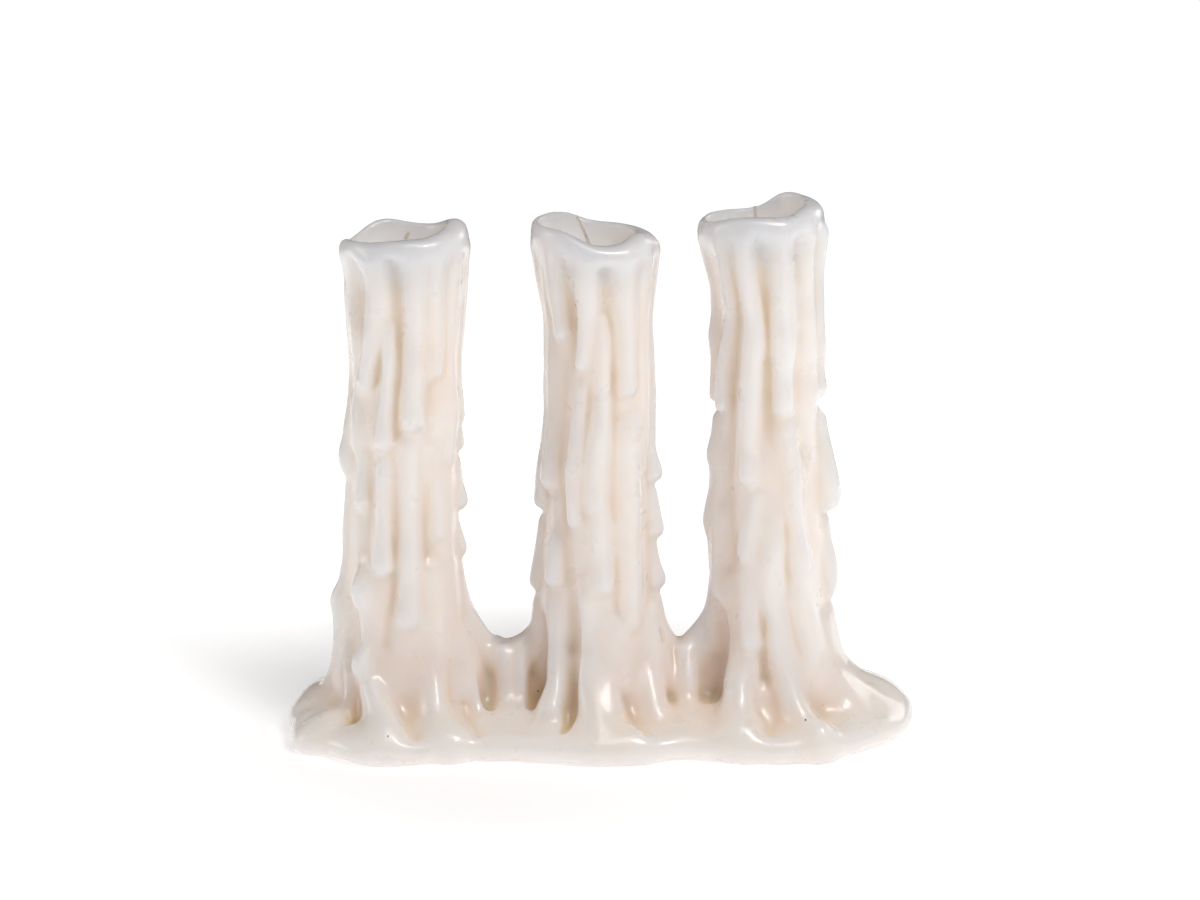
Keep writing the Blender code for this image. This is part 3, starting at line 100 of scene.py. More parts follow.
# Drips: (angle, height, half width, height of its crest over the core), from the top down.
# The last point is the bead at the drip's end.
DRIPS = {
    "left": (
        # front
        ((-29, 176, 4.6, 2.7), (-30, 164, 4.7, 3.0), (-32, 154, 4.2, 3.0), (-38, 144, 3.7, 3.0), (-44, 136, 3.6, 3.2), (-46, 132, 3.8, 3.4)),
        ((-17, 153, 1.6, 0.8), (-15, 147, 2.0, 1.8), (-16, 139, 2.2, 2.3), (-18, 129, 2.3, 2.4), (-21, 120, 2.6, 2.7),
         (-21, 112, 3.4, 4.0)),
        ((-22, 104, 1.6, 0.8), (-22, 94, 1.9, 1.5), (-20, 83, 2.3, 2.1), (-17, 73, 3.0, 3.0), (-16, 66, 3.8, 4.1)),
        ((-55, 117, 1.8, 1.2), (-53, 104, 1.9, 1.7), (-50, 93, 2.3, 2.2), (-48, 88, 3.2, 3.4)),
        ((14, 176, 4.8, 2.7), (13, 166, 4.2, 3.0), (13, 152, 4.1, 3.1), (12, 138, 4.1, 3.3), (11, 127, 4.4, 3.8), (10.5, 120, 4.6, 4.5)),
        ((9, 110, 4.0, 1.6), (11, 98, 4.0, 2.4), (12, 84, 4.0, 2.6), (12, 69, 4.1, 2.9), (10, 57, 4.8, 3.8), (9, 47, 5.4, 4.8)),
        ((37, 176, 4.2, 2.4), (37, 164, 3.8, 2.1), (37, 148, 3.7, 2.1), (36, 137, 3.6, 2.6)),
        ((44, 104, 1.8, 1.2), (44, 90, 2.0, 1.7), (43, 77, 2.6, 2.5)),
        ((40, 64, 3.0, 1.6), (39, 48, 3.2, 2.4), (38, 37, 3.4, 3.0), (33, 27, 3.8, 4.4), (28, 19, 4.6, 8.0), (26, 12, 5.4, 13.0), (24, 6, 5.8, 18.0)),
        ((-38, 63, 2.2, 1.2), (-37, 55.5, 4.9, 6.6), (-32, 47.5, 2.9, 2.5), (-30, 38, 2.9, 2.7), (-31, 30.5, 4.9, 8.2),
         (-26, 25, 3.9, 5.6), (-19, 20.5, 5.0, 8.2), (-12, 15, 5.6, 11.5), (-5, 9, 6.4, 16.0)),
        ((64, 175, 4.2, 2.6), (63, 150, 3.8, 2.4), (65, 125, 3.6, 2.3), (64, 104, 3.6, 2.5)),
        ((60, 96, 4.8, 1.7), (60, 76, 5.0, 1.9), (60, 56, 5.2, 2.2), (56, 38, 5.2, 3.0), (52, 24, 5.5, 5.0), (50, 12, 6.0, 9.0)),
        ((-74, 178, 3.2, 2.6), (-72, 162, 2.6, 1.6), (-66, 146, 2.6, 1.5), (-64, 125, 2.8, 1.5), (-64, 108, 3.0, 1.8)),
        # left flank
        ((-86, 178, 3.4, 3.6), (-86, 170.2, 3.2, 3), (-86, 158.7, 3.0, 2.7), (-86, 146.6, 2.8, 2), (-86, 132.6, 2.6, 1.7),
         (-86, 120.6, 2.8, 2.3), (-86, 108.6, 3.6, 4.0), (-86, 102.1, 4.0, 5.0), (-87, 98.6, 3.6, 4.2)),
        ((-88, 91.6, 3.0, 2.4), (-88, 76.6, 3.0, 2.8), (-88, 63.6, 2.8, 2.9), (-88, 54.6, 3.4, 3.6), (-88, 48.6, 4.0, 5.4), (-88, 44.6, 3.4, 4.5)),
        ((-90, 38.6, 2.8, 3.7), (-90, 27, 3.0, 3.6), (-90, 17, 3.4, 4.0)),
        # right flank
        ((88, 178, 3.4, 3.2), (88, 168.9, 3.0, 2.7), (88, 151.2, 3.0, 2.4), (88, 132, 2.8, 2.1), (88, 122, 3.0, 2.8), (88, 117, 3.1, 3.3)),
        ((87, 111, 2.6, 3.2), (87, 107, 2.9, 4.1)),
        ((88, 100, 2.8, 2.5), (88, 92, 3.5, 3.6), (88, 86, 4.0, 5.2)),
        ((88, 77, 2.8, 2.0), (88, 73, 3.4, 3.3), (88, 68, 3.9, 4.9)),
        ((86, 61, 2.8, 2.7), (84, 48, 3.4, 4.0), (84, 34, 4.5, 5.8)),
        # back
        ((112, 175, 4.0, 2.6), (114, 150, 3.4, 2.6), (112, 132, 3.3, 2.8), (110, 118, 3.8, 4.0)),
        ((136, 175, 3.2, 2.6), (134, 155, 2.8, 2.4), (136, 128, 2.8, 2.4), (138, 98, 2.9, 2.6), (138, 84, 3.5, 3.8)),
        ((160, 175, 4.2, 2.6), (162, 148, 3.8, 3.0), (160, 130, 4.2, 4.2)),
        ((184, 175, 3.2, 2.6), (184, 140, 2.6, 2.2), (180, 112, 2.8, 2.6), (178, 96, 3.3, 3.6)),
        ((206, 175, 4.4, 2.6), (208, 146, 3.8, 3.0), (210, 120, 3.5, 3.0), (210, 106, 3.9, 4.1)),
        ((234, 175, 3.4, 2.6), (236, 150, 3.0, 2.5), (236, 136, 3.3, 3.6)),
        ((238, 118, 2.6, 1.6), (240, 92, 3.0, 2.4), (242, 66, 3.7, 3.8)),
        ((158, 112, 2.8, 1.6), (158, 84, 3.3, 2.6), (160, 56, 3.9, 3.8)),
        ((112, 104, 3.0, 1.6), (112, 78, 3.5, 2.4), (112, 52, 3.9, 3.4)),
        ((206, 88, 3.2, 1.6), (204, 62, 3.6, 2.6), (200, 36, 4.0, 4.0), (196, 18, 5.0, 8.0), (192, 7, 6.0, 15.0)),
        ((134, 44, 3.0, 1.6), (132, 28, 3.8, 3.2), (130, 14, 5.0, 8.0)),
    ),
    "middle": (
        # front
        ((-50, 177, 4.0, 2.7), (-51, 168, 3.6, 2.8), (-49, 158, 3.3, 3.1), (-46, 150, 3.6, 3.6)),
        ((-11, 176, 4.4, 2.7), (-12, 165, 3.8, 2.9), (-14, 155, 3.4, 2.9), (-16, 147, 3.2, 3.0), (-20, 139, 3.4, 3.7)),
        ((-20, 131, 2.2, 1.2), (-23, 122, 2.6, 2.1), (-25, 110, 2.8, 2.5), (-26, 97, 2.8, 2.5), (-26, 90, 2.9, 2.7), (-26, 82, 3.2, 3.4)),
        ((5, 155, 1.9, 0.9), (6, 147, 2.6, 1.9), (6, 134, 2.9, 2.3), (4, 120, 3.5, 2.6), (0, 109, 4.0, 2.9), (-3, 98, 4.2, 3.1), (-3, 89, 4.6, 4.0)),
        ((1, 84, 3.8, 2.2), (3, 73, 4.6, 3.2), (5, 66, 4.8, 3.6), (6, 60, 4.8, 4.5)),
        ((36, 177, 4.8, 2.8), (35, 162, 4.6, 3.0), (35, 148, 4.5, 3.3), (35, 131, 4.4, 4.1)),
        ((42, 118, 5.2, 2.0), (41, 101, 5.6, 2.6), (40, 83, 5.6, 2.8), (40, 68, 5.4, 2.9), (40, 55, 5.2, 2.8), (38, 44, 4.8, 2.4)),
        ((62, 176, 4.2, 2.7), (62, 150, 3.8, 2.6), (62, 125, 3.6, 2.5), (62, 100, 3.6, 2.4)),
        ((-66, 178, 1.9, 2.0), (-71, 166, 1.6, 1.5), (-72, 150, 1.6, 1.3), (-72, 132, 1.8, 1.5), (-71, 117, 2.0, 1.9), (-67, 104, 2.8, 2.8), (-64, 95, 3.4, 3.8)),
        ((-54, 88, 1.4, 0.9), (-52, 78, 1.9, 1.5), (-50, 68, 3.3, 3.2), (-49, 60.5, 4.0, 4.4)),
        ((-12, 58, 1.8, 1.0), (-9, 53, 3.0, 3.0), (-8, 46, 3.4, 3.3), (-8, 36, 3.8, 3.9), (-7, 24, 4.4, 6.8),
         (-3, 16, 5.4, 11.5), (0, 9, 6.5, 16.5)),
        ((-50, 51, 2.8, 1.8), (-46, 41, 3.5, 2.8), (-41, 31, 3.9, 4.2), (-35, 23, 4.4, 7.0), (-33, 15, 5.4, 12.0)),
        ((66, 44, 3.2, 2.4), (60, 33, 3.8, 3.8), (50, 23, 4.6, 5.4), (40, 12, 5.5, 11.0)),
        ((16, 42, 4.6, 1.4), (12, 30, 5.0, 2.8), (8, 20, 5.2, 7.0), (10, 12, 5.4, 12.0), (12, 6, 5.8, 16.5)),
        # left flank
        ((-88, 178, 3.4, 3.1), (-88, 168.4, 3.2, 2.9), (-88, 162.1, 3.0, 2.5), (-88, 152, 2.8, 1.9), (-88, 134.2, 2.8, 2),
         (-88, 118.2, 2.8, 2.7), (-88, 104.2, 2.8, 3.2), (-86, 94.2, 3.5, 4.2), (-85, 86.2, 4.0, 5.0)),
        ((-88, 78.2, 2.8, 2.5), (-88, 65.2, 2.8, 3.2), (-87, 55.7, 3.3, 4.5)),
        ((-86, 47.2, 2.8, 2.2), (-80, 40.2, 3.0, 2.4), (-84, 31, 4.0, 4.4)),
        # right flank
        ((88, 178, 3.4, 4.2), (88, 171.1, 3.0, 3.6), (88, 161.3, 2.8, 2.9), (88, 143, 2.8, 2.8), (88, 123, 2.8, 3.4),
         (88, 108, 3.2, 4.0), (88, 101, 3.9, 5.2), (87, 96, 4.4, 6.3)),
        ((88, 89, 3.4, 3.5), (87, 81, 3.9, 5.0), (86, 75.5, 4.4, 6.3)),
        ((86, 68, 3.4, 3.3), (86, 61, 3.7, 4.6), (86, 56.5, 4.2, 6.0)),
        ((84, 49, 3.0, 3.5), (84, 41, 3.4, 4.4), (86, 31.7, 4.2, 5.6)),
        # back
        ((114, 175, 3.6, 2.6), (114, 146, 3.0, 2.4), (116, 124, 3.0, 2.6), (116, 108, 3.5, 3.8)),
        ((138, 175, 4.4, 2.6), (138, 152, 4.0, 3.2), (138, 136, 4.2, 4.4)),
        ((162, 176, 3.0, 2.5), (160, 146, 2.6, 2.0), (160, 116, 2.8, 2.4), (160, 98, 3.4, 3.6)),
        ((188, 176, 4.4, 2.7), (188, 150, 3.8, 3.0), (190, 126, 3.7, 3.0), (190, 112, 4.0, 4.2)),
        ((212, 176, 3.2, 2.5), (214, 152, 2.8, 2.4), (216, 140, 3.3, 3.6)),
        ((238, 176, 4.0, 2.6), (240, 142, 3.2, 2.4), (238, 112, 3.2, 2.6), (238, 90, 3.7, 3.8)),
        ((212, 126, 2.4, 1.4), (212, 96, 2.8, 2.2), (212, 74, 3.5, 3.6)),
        ((136, 118, 2.6, 1.4), (136, 88, 3.2, 2.6), (134, 62, 3.8, 3.8)),
        ((182, 92, 3.2, 1.8), (180, 66, 3.6, 2.6), (178, 40, 4.0, 3.8), (176, 20, 5.0, 8.0), (172, 7, 6.0, 15.0)),
        ((226, 60, 3.0, 1.6), (228, 40, 3.6, 2.6), (228, 18, 5.0, 7.0)),
        ((118, 84, 2.8, 1.6), (120, 58, 3.4, 2.8), (122, 34, 4.0, 4.2), (124, 14, 5.0, 8.0)),
    ),
    "right": (
        # front
        ((-50, 184, 2.8, 2.6), (-48, 174, 2.5, 2.5), (-47, 163, 2.4, 2.4), (-49, 155, 2.3, 2.3), (-58, 146, 2.3, 2.4),
         (-63, 136, 2.5, 2.8), (-62, 123, 3.6, 4.4)),
        ((-22, 183, 4.6, 2.7), (-22, 175, 4.0, 2.9), (-20, 164, 3.8, 3.1), (-18, 152, 3.8, 3.1), (-20, 138, 3.8, 3.2),
         (-23, 123, 3.8, 3.3), (-24, 109, 3.8, 3.4), (-24, 99, 3.9, 4.0)),
        ((21, 186, 5.0, 2.7), (19, 170, 4.6, 3.0), (17, 153, 4.4, 3.2), (16, 136, 4.2, 3.3), (16, 124, 4.3, 4.0)),
        ((22, 116, 3.4, 2.4), (25, 105, 3.6, 2.9), (27, 88, 3.9, 3.1), (31, 74, 4.2, 3.5), (32, 66, 4.6, 4.0)),
        ((32, 58, 4.0, 1.8), (35, 48, 4.6, 2.9), (40, 37, 5.6, 3.0), (46, 28, 7.0, 3.6), (54, 20, 8.0, 6.0), (60, 12, 8.0, 11.0)),
        ((56, 184, 3.6, 2.6), (58, 168, 3.2, 2.4), (60, 145, 3.0, 2.2), (61, 125, 3.1, 2.5)),
        ((-16, 92, 2.4, 1.4), (-21, 84, 3.0, 2.2), (-25, 77, 3.4, 3.1), (-26, 71, 3.9, 4.0)),
        ((2, 82, 2.4, 0.9), (1, 74, 3.4, 2.6), (-3, 64, 4.0, 3.3), (-3, 56, 3.9, 3.4), (4, 46, 3.8, 3.3), (6, 36, 3.9, 3.6), (10, 26, 4.4, 5.2),
         (15, 17, 4.9, 9.0), (20, 10, 5.5, 13.0), (24, 5, 5.5, 17.0)),
        ((-23, 66, 3.0, 1.4), (-24, 56, 3.6, 2.6), (-22, 45, 4.6, 4.0), (-21, 38, 4.6, 4.2)),
        ((-28, 29, 3.6, 3.0), (-26, 22, 4.8, 6.9), (-21, 15, 5.6, 11.2), (-18, 8, 6.5, 16.0)),
        ((-78, 116, 1.6, 1.1), (-74, 94, 2.0, 1.6), (-72, 77, 2.4, 2.2), (-68, 60, 3.2, 3.0), (-58, 51, 3.9, 4.0)),
        # left flank
        ((-88, 184, 3.2, 2.3), (-87, 173.6, 2.8, 1.4), (-86, 165.1, 2.6, 0.7), (-86, 155.4, 2.7, 1.8), (-86, 146.9, 3.0, 3.3),
         (-86, 139.4, 2.6, 2), (-86, 131.4, 2.8, 2.9), (-86, 124.4, 3.1, 4.2)),
        ((-86, 117.4, 2.6, 2.4), (-86, 108.4, 2.8, 3.0), (-86, 102.9, 3.0, 3.8), (-86, 97.4, 2.6, 2.3), (-86, 89.4, 2.8, 2.9),
         (-86, 78.4, 3.5, 4.5), (-86, 71.4, 3.0, 2.9), (-85, 61.4, 2.8, 1.6)),
        ((-84, 55.4, 2.8, 1.4), (-84, 33.4, 4.0, 3.6)),
        # right flank
        ((88, 184, 3.4, 4.8), (88, 169, 3.0, 3.8), (88, 151.6, 3.0, 3.6), (88, 139.4, 3.0, 3.9), (88, 133.4, 3.2, 3.6), (88, 127.4, 3.5, 4.2)),
        ((86, 116.4, 3.2, 3.6), (85, 106.4, 4.0, 5.0), (84, 97.4, 4.6, 6.7), (84, 89.9, 5.0, 7.3), (84, 86.4, 4.9, 7.0)),
        ((88, 78.4, 2.8, 3.2), (88, 71.4, 2.8, 3.6), (88, 62.4, 3.8, 5.4), (88, 57.4, 4.0, 5.7), (88, 52.4, 3.5, 4.3)),
        ((88, 43.4, 4.4, 2.8), (88, 36, 6.0, 3.0), (90, 29, 8.5, 3.8), (92, 22, 10.0, 5.8), (94, 15, 11.0, 10.0), (96, 10, 10.0, 14.5)),
        ((66, 40, 6.0, 2.0), (67, 31, 8.0, 2.8), (70, 23, 9.0, 4.6), (74, 16, 9.5, 8.5), (78, 10, 9.0, 14.0)),
        # back
        ((114, 184, 4.2, 2.6), (114, 156, 3.8, 3.0), (116, 140, 4.1, 4.3)),
        ((136, 185, 3.2, 2.6), (136, 154, 2.6, 2.0), (134, 124, 2.8, 2.4), (134, 106, 3.4, 3.6)),
        ((162, 185, 4.4, 2.7), (162, 156, 3.8, 3.0), (160, 130, 3.5, 3.0), (158, 114, 3.9, 4.1)),
        ((188, 184, 3.4, 2.6), (190, 158, 3.0, 2.4), (190, 146, 3.5, 3.7)),
        ((212, 184, 4.0, 2.6), (212, 150, 3.4, 2.6), (210, 122, 3.4, 2.6), (210, 98, 3.8, 3.9)),
        ((238, 184, 3.4, 2.6), (240, 156, 2.9, 2.2), (240, 128, 3.5, 3.6)),
        ((186, 130, 2.4, 1.4), (186, 104, 2.8, 2.4), (184, 82, 3.5, 3.7)),
        ((238, 108, 2.6, 1.6), (236, 84, 3.1, 2.6), (236, 58, 3.8, 3.8)),
        ((112, 118, 2.6, 1.6), (112, 92, 3.2, 2.6), (112, 68, 3.9, 4.0)),
        ((158, 90, 3.2, 1.8), (158, 64, 3.6, 2.8), (156, 38, 4.2, 4.2), (154, 20, 5.0, 8.0), (152, 7, 6.0, 15.0)),
        ((206, 62, 3.0, 1.6), (206, 38, 3.8, 2.8), (208, 16, 5.0, 8.0)),
    ),
}

# Valleys between the drips that lie deeper than the core: (angle, height, half width, depth)
VALLEYS = {
    "left": (
        ((-11, 174.5, 3.4, 0.9), (-9, 168, 4.4, 1.7), (-7, 160, 4.8, 2.1), (-5, 150, 4.2, 2.1), (-2, 140, 3.6, 1.6), (-4, 131, 3.2, 1.0)),
        ((-28, 149, 2.0, 0.8), (-30, 141, 2.6, 1.4), (-33, 133, 2.6, 1.1)),
        ((-8, 131, 3.0, 1.1), (-8, 121, 3.8, 1.7), (-8, 112, 3.6, 1.2), (-8, 104, 3.0, 0.9)),
        ((-57, 174, 2.8, 0.6), (-56, 164, 3.2, 1.0), (-55, 152, 2.8, 0.7)),
        ((29, 172, 2.2, 0.5), (29, 165, 2.4, 0.7), (28, 157, 1.8, 0.4)),
        ((50, 174, 2.2, 0.5), (50, 168, 2.0, 0.5)),
        ((33, 129, 3.4, 1.1), (34, 121, 4.0, 1.7), (34, 113, 3.2, 1.0)),
        ((34, 94, 2.6, 0.8), (35, 82, 3.6, 1.5), (35, 71, 4.2, 1.9), (34, 66, 3.6, 1.2)),
        ((-38, 106, 2.4, 0.9), (-38, 92, 3.0, 1.4), (-38, 76, 2.8, 1.1), (-36, 66, 2.4, 0.7)),
        ((-6, 100, 2.8, 0.9), (-4, 84, 3.4, 1.4), (-3, 68, 3.6, 1.6), (-4, 55, 3.0, 1.1), (-10, 47, 3.4, 0.9), (-12, 38, 3.2, 0.7)),
        ((-64, 52, 2.8, 0.8), (-60, 41, 3.8, 1.8), (-55, 29, 4.0, 2.1)),
    ),
    "middle": (
        ((-40, 175, 3.2, 1.0), (-38, 168, 3.9, 1.7), (-34, 160, 4.0, 2.0), (-33, 150, 3.8, 2.0), (-37, 141, 4.0, 1.7)),
        ((-46, 141, 4.0, 1.3), (-47, 130, 4.6, 2.0), (-47, 112, 4.4, 2.0), (-46, 94, 4.2, 1.8), (-42, 84, 4.0, 1.5), (-38, 72, 4.0, 1.5), (-34, 62, 4.0, 1.4)),
        ((10, 171.5, 3.2, 0.9), (11, 165, 4.6, 1.8), (13, 157, 4.8, 1.9), (18, 148, 3.6, 1.7), (19, 138, 3.2, 1.7), (19, 126, 3.2, 1.6), (18, 112, 2.8, 1.1),
         (18, 98, 2.8, 1.1), (19, 84, 2.6, 0.9)),
        ((-12, 130, 2.0, 0.7), (-14, 112, 2.4, 1.0), (-15, 95, 2.4, 0.9), (-14, 86, 2.0, 0.6)),
        ((20, 121, 3.0, 1.2), (27, 120, 3.2, 1.5), (34, 120, 2.8, 1.1)),
        ((25, 68, 2.6, 0.9), (24, 53, 3.4, 1.5), (22, 41, 3.4, 1.1)),
        ((-28, 60, 2.8, 0.9), (-27, 48, 3.6, 1.9), (-26, 36, 3.8, 2.6)),
    ),
    "right": (
        ((-10, 181, 3.4, 1.1), (-7, 175, 4.3, 1.9), (-4, 168, 4.5, 2.3), (-1, 158, 4.3, 2.4), (-1, 146, 4.1, 2.4), (-1, 132, 4.0, 2.3), (-1, 120, 4.4, 2.6), (0, 112, 3.4, 1.3)),
        ((33, 181.5, 3.2, 0.8), (34, 178, 3.0, 0.8), (36, 170, 2.6, 0.6)),
        ((-36, 172, 2.4, 0.8), (-36, 162, 2.8, 1.2), (-40, 150, 3.2, 1.6), (-46, 138, 3.6, 1.9), (-53, 124, 3.8, 2.1), (-54, 106, 3.8, 2.1),
         (-52, 88, 3.6, 1.8), (-46, 72, 4.0, 2.0), (-46, 64, 3.6, 1.6)),
        ((-9, 62, 3.0, 1.0), (-8, 50, 3.9, 1.8), (-7, 38, 4.3, 2.4), (-5, 27, 4.0, 2.0)),
        ((18, 84, 2.6, 0.9), (19, 74, 3.6, 1.7), (20, 65, 4.0, 2.1), (20, 57, 3.6, 1.3)),
        ((18, 50, 2.8, 1.0), (22, 43, 3.6, 1.7), (29, 34, 3.8, 1.8)),
        ((38, 150, 2.8, 0.8), (38, 125, 3.0, 1.0), (44, 108, 3.0, 0.8)),
    ),
}

# Runs that belong to no stem, as (x, y, z, radius) from end to end: the webs that join the
# feet of the stems, and the drips that hang from them down to the pool.
RUNS = (
    # web between left and middle: a hanging U, then its body
    ((-56, 0, 47, 8.0), (-52, 0, 39.5, 8.0), (-47.7, 0, 32.3, 8.0), (-43, 0, 27.5, 8.0), (-35, 0, 25, 8.0),
     (-27.5, 0, 27, 8.0), (-22.5, 0, 30.5, 8.0), (-18.5, 0, 36, 8.0), (-16, 0, 44, 8.0)),
    ((-60, 0, 13, 12.0), (-36, 0, 12, 12.0), (-12, 0, 13, 12.0)),
    # web between middle and right: two runs that meet in a V, then its body
    ((13.5, 0, 45, 8.0), (17, 0, 37, 8.0), (21, 0, 28.5, 8.0), (25, 0, 20, 8.0)),
    ((48, 0, 43, 8.0), (45, 0, 39, 8.0), (39.4, 0, 31.3, 8.0), (33, 0, 22.5, 8.0)),
    ((14, 0, 13, 12.0), (30, 0, 12, 12.0), (50, 0, 13, 12.0)),
    ((16, -5, 30, 8.0), (23, -6, 20, 8.5), (30, -6, 14, 9.0)),
    ((-54, -8, 36, 6.5), (-50, -11, 24, 7.5), (-48, -15, 12, 9.0)),
    # drips in front of the webs
    ((-35, -6, 30, 3.2), (-34.6, -10, 22, 3.4), (-34.2, -14, 14, 3.8), (-34, -19, 7, 5.0)),
    ((-29, -5, 31, 3.0), (-28.7, -10, 23, 3.2), (-28.3, -14, 14, 3.6), (-28, -19, 7, 4.8)),
    ((32, -5, 30, 3.4), (32.6, -10, 22, 3.7), (32.6, -14, 14, 4.0), (32, -19, 8, 5.2)),
    # drips behind the webs
    ((-38, 5, 30, 3.2), (-38.5, 10, 22, 3.4), (-39, 15, 13, 3.8), (-39, 20, 6, 4.8)),
    ((-27, 5, 31, 2.8), (-26.5, 10, 22, 3.2), (-26, 15, 12, 3.8), (-26, 19, 6, 4.8)),
    ((27, 5, 29, 3.2), (27, 10, 21, 3.4), (27, 16, 12, 4.0), (27, 20, 6, 5.0)),
    ((37, 6, 33, 3.0), (37.5, 11, 22, 3.4), (38, 16, 12, 3.8), (38, 20, 6, 4.8)),
)

# Hollows at the foot, cut by round runs (x, y, z, radius), each with how softly its rim rolls over
POCKETS = (
    # in the webs, between the drips that hang from them
    (((-40.8, -13.0, 32, 1.5), (-40.6, -13.5, 24, 3.2), (-40.6, -16, 16, 3.9), (-40.5, -18.5, 12.5, 2.8)), 5.0),
    (((-20.4, -10.5, 43, 2.2), (-21.0, -12, 30, 3.6), (-21.6, -14, 17, 4.5), (-22.6, -17.5, 11.2, 3.4)), 5.0),
    (((40.5, -14, 52, 2.0), (41.3, -11, 42, 4.6), (41.7, -12, 29, 6.0), (41.5, -15, 19.2, 5.5)), 6.5),
    # between the roots of the left stem
    (((-90, -12, 48, 1.4), (-91, -14, 36, 2.6), (-91.3, -17, 26, 3.2), (-90, -22, 17, 3.8), (-89.5, -26, 11.5, 3.4)), 5.0),
    (((-70.5, -27, 32, 1.0), (-69.6, -29.4, 20, 2.0), (-68.5, -35, 13.0, 1.6), (-66, -40, 9.8, 1.0)), 9.0),
    (((-48.5, -22.4, 15.4, 0.8), (-46, -28.9, 11.6, 1.3), (-43, -35, 9.8, 0.9)), 9.0),
    # of the middle stem
    (((-10.5, -21, 54, 1.8), (-10.3, -21.3, 42, 2.8), (-10, -23, 30, 3.0), (-10, -26, 20, 3.1), (-11, -31, 11.5, 2.4), (-13, -37, 8, 1.4)), 4.5),
    (((9.5, -27, 19.5, 0.7), (13, -31.8, 14.0, 1.3), (17, -37.5, 9.4, 0.9)), 10.0),
    # of the right stem
    (((60.5, -27, 34, 0.9), (61.8, -28.4, 25, 1.7), (62.5, -32.4, 17, 1.6), (62, -37, 11.5, 0.9)), 10.0),
    # folds in the pool
    (((-110, -26, 11.2, 1.2), (-105, -20.5, 14.0, 1.8), (-99.5, -14.2, 15.8, 1.4)), 8.0),
    (((-99, -40, 7.4, 1.0), (-92, -43, 7.6, 1.2), (-85, -46, 7.2, 1.0)), 4.0),
)

# The pool's outline (x, y), anticlockwise from the left end, seen from above
POOL_OUTLINE = (
    (-114.6, -5), (-112.6, -16), (-107.3, -27), (-99.5, -36), (-89, -44.5), (-77, -48), (-64, -47), (-50, -43.5),
    (-35, -42), (-20, -44.5), (-4, -48), (12, -46), (28, -42), (44, -43), (57, -45), (68, -45.5), (80, -42.5),
    (89, -38.5), (97, -33), (104.5, -27), (110, -20.5), (114, -11), (115.8, 0),
    (114.8, 12), (110, 22), (99, 32), (86, 39), (70, 44), (53, 42.5), (36, 39), (20, 42), (3, 48), (-15, 45),
    (-32, 39.5), (-48, 41), (-65, 47), (-82, 45), (-96, 37), (-105.5, 25), (-112.4, 9),
)
POOL_SPINE = (-74.0, 68.0)    # the pool's sections run in from its outline to this line of stems
# The pool's section from the floor up: (distance in from the outline, height)
POOL_SECTION = ((4.4, -3.0), (3.2, 0.0), (1.3, 1.4), (0.0, 3.9), (1.0, 5.9), (3.2, 7.5), (7.0, 8.9),
                (13.0, 10.4), (22.0, 12.6), (33.0, 14.8))
# Thicker lumps on the pool: (x, y, z of the middle, half sizes in x, y and z)
LUMPS = (
    (-96.5, 7, 4, 16.0, 21, 11.0),
    (-101.8, -23, 3.5, 10.5, 13.5, 9.0),
    (-75, -37.5, 4, 11.0, 8.6, 9.4),
    (-53, -36.5, 4, 7.5, 8.4, 9.2),
    (-38, -31, 3, 8.0, 10, 7.2),
    (-16.5, -26.5, 3.5, 7.6, 10.0, 8.8),
    (-1, -35, 3, 10.0, 10, 7.6),
    (14, -38, 3.5, 8.0, 7.4, 8.8),
    (29, -27, 3.5, 12.0, 11, 8.0),
    (51.5, -35.5, 4, 9.5, 8.4, 10.8),
    (47, -27, 5, 6.0, 6.0, 12.0),
    (79, -38, 4, 6.8, 6.4, 10.2),
    (87, -12, 4, 17, 20, 10.6),
    (96.5, 5, 4, 19, 26, 12.8),
)

# Wicks: (x and y of the bore, then the free end's points (x, y, height), bottom to top)
WICKS = {
    "left":   ((-69.0, -2.0), ((-69.0, -2.0, 177.0), (-68.4, -2.0, 181.4), (-67.3, -2.0, 184.2))),
    "middle": ((-3.0, -3.0), ((-3.0, -3.0, 176.0), (-4.6, -2.7, 182.0), (-8.1, -2.0, 189.7))),
    "right":  ((55.6, 0.5), ((55.6, 0.5, 183.0), (55.1, 0.5, 188.0), (54.7, 0.5, 193.0))),
}
WICK_BOTTOM = 0.4

# ------------------------------------------------------------------ the wax as a field
GRID_LOW = (-121.0, -54.0, -3.0)
GRID_HIGH = (121.0, 54.0, 201.0)

def curve_table(xs, ys, at):
    """Monotone cubic through a table, sampled at many places."""
    xs = np.asarray(xs, float); ys = np.asarray(ys, float)
    d = np.diff(ys) / np.diff(xs)
    m = np.zeros(len(xs)); m[0] = d[0]; m[-1] = d[-1]
    for i in range(1, len(xs) - 1):
        m[i] = 0.0 if d[i - 1] * d[i] <= 0 else 2 * d[i - 1] * d[i] / (d[i - 1] + d[i])
    at = np.clip(at, xs[0], xs[-1])
    i = np.clip(np.searchsorted(xs, at, side="right") - 1, 0, len(xs) - 2)
    h = xs[i + 1] - xs[i]; t = (at - xs[i]) / h
    return ((1 + 2 * t) * (1 - t) ** 2 * ys[i] + t * (1 - t) ** 2 * h * m[i]
            + t * t * (3 - 2 * t) * ys[i + 1] + t * t * (t - 1) * h * m[i + 1])

def rows_curve(points, steps=4):
    """Catmull-Rom curve through rows of numbers."""
    p = np.asarray([points[0]] + list(points) + [points[-1]], float)
    out = []
    for i in range(len(p) - 3):
        a, b, c, d = p[i:i + 4]
        for s in range(steps):
            t = s / steps
            out.append(0.5 * (2 * b + (c - a) * t + (2 * a - 5 * b + 4 * c - d) * t * t
                              + (3 * b - a - 3 * c + d) * t ** 3))
    out.append(p[-1])
    return np.asarray(out)

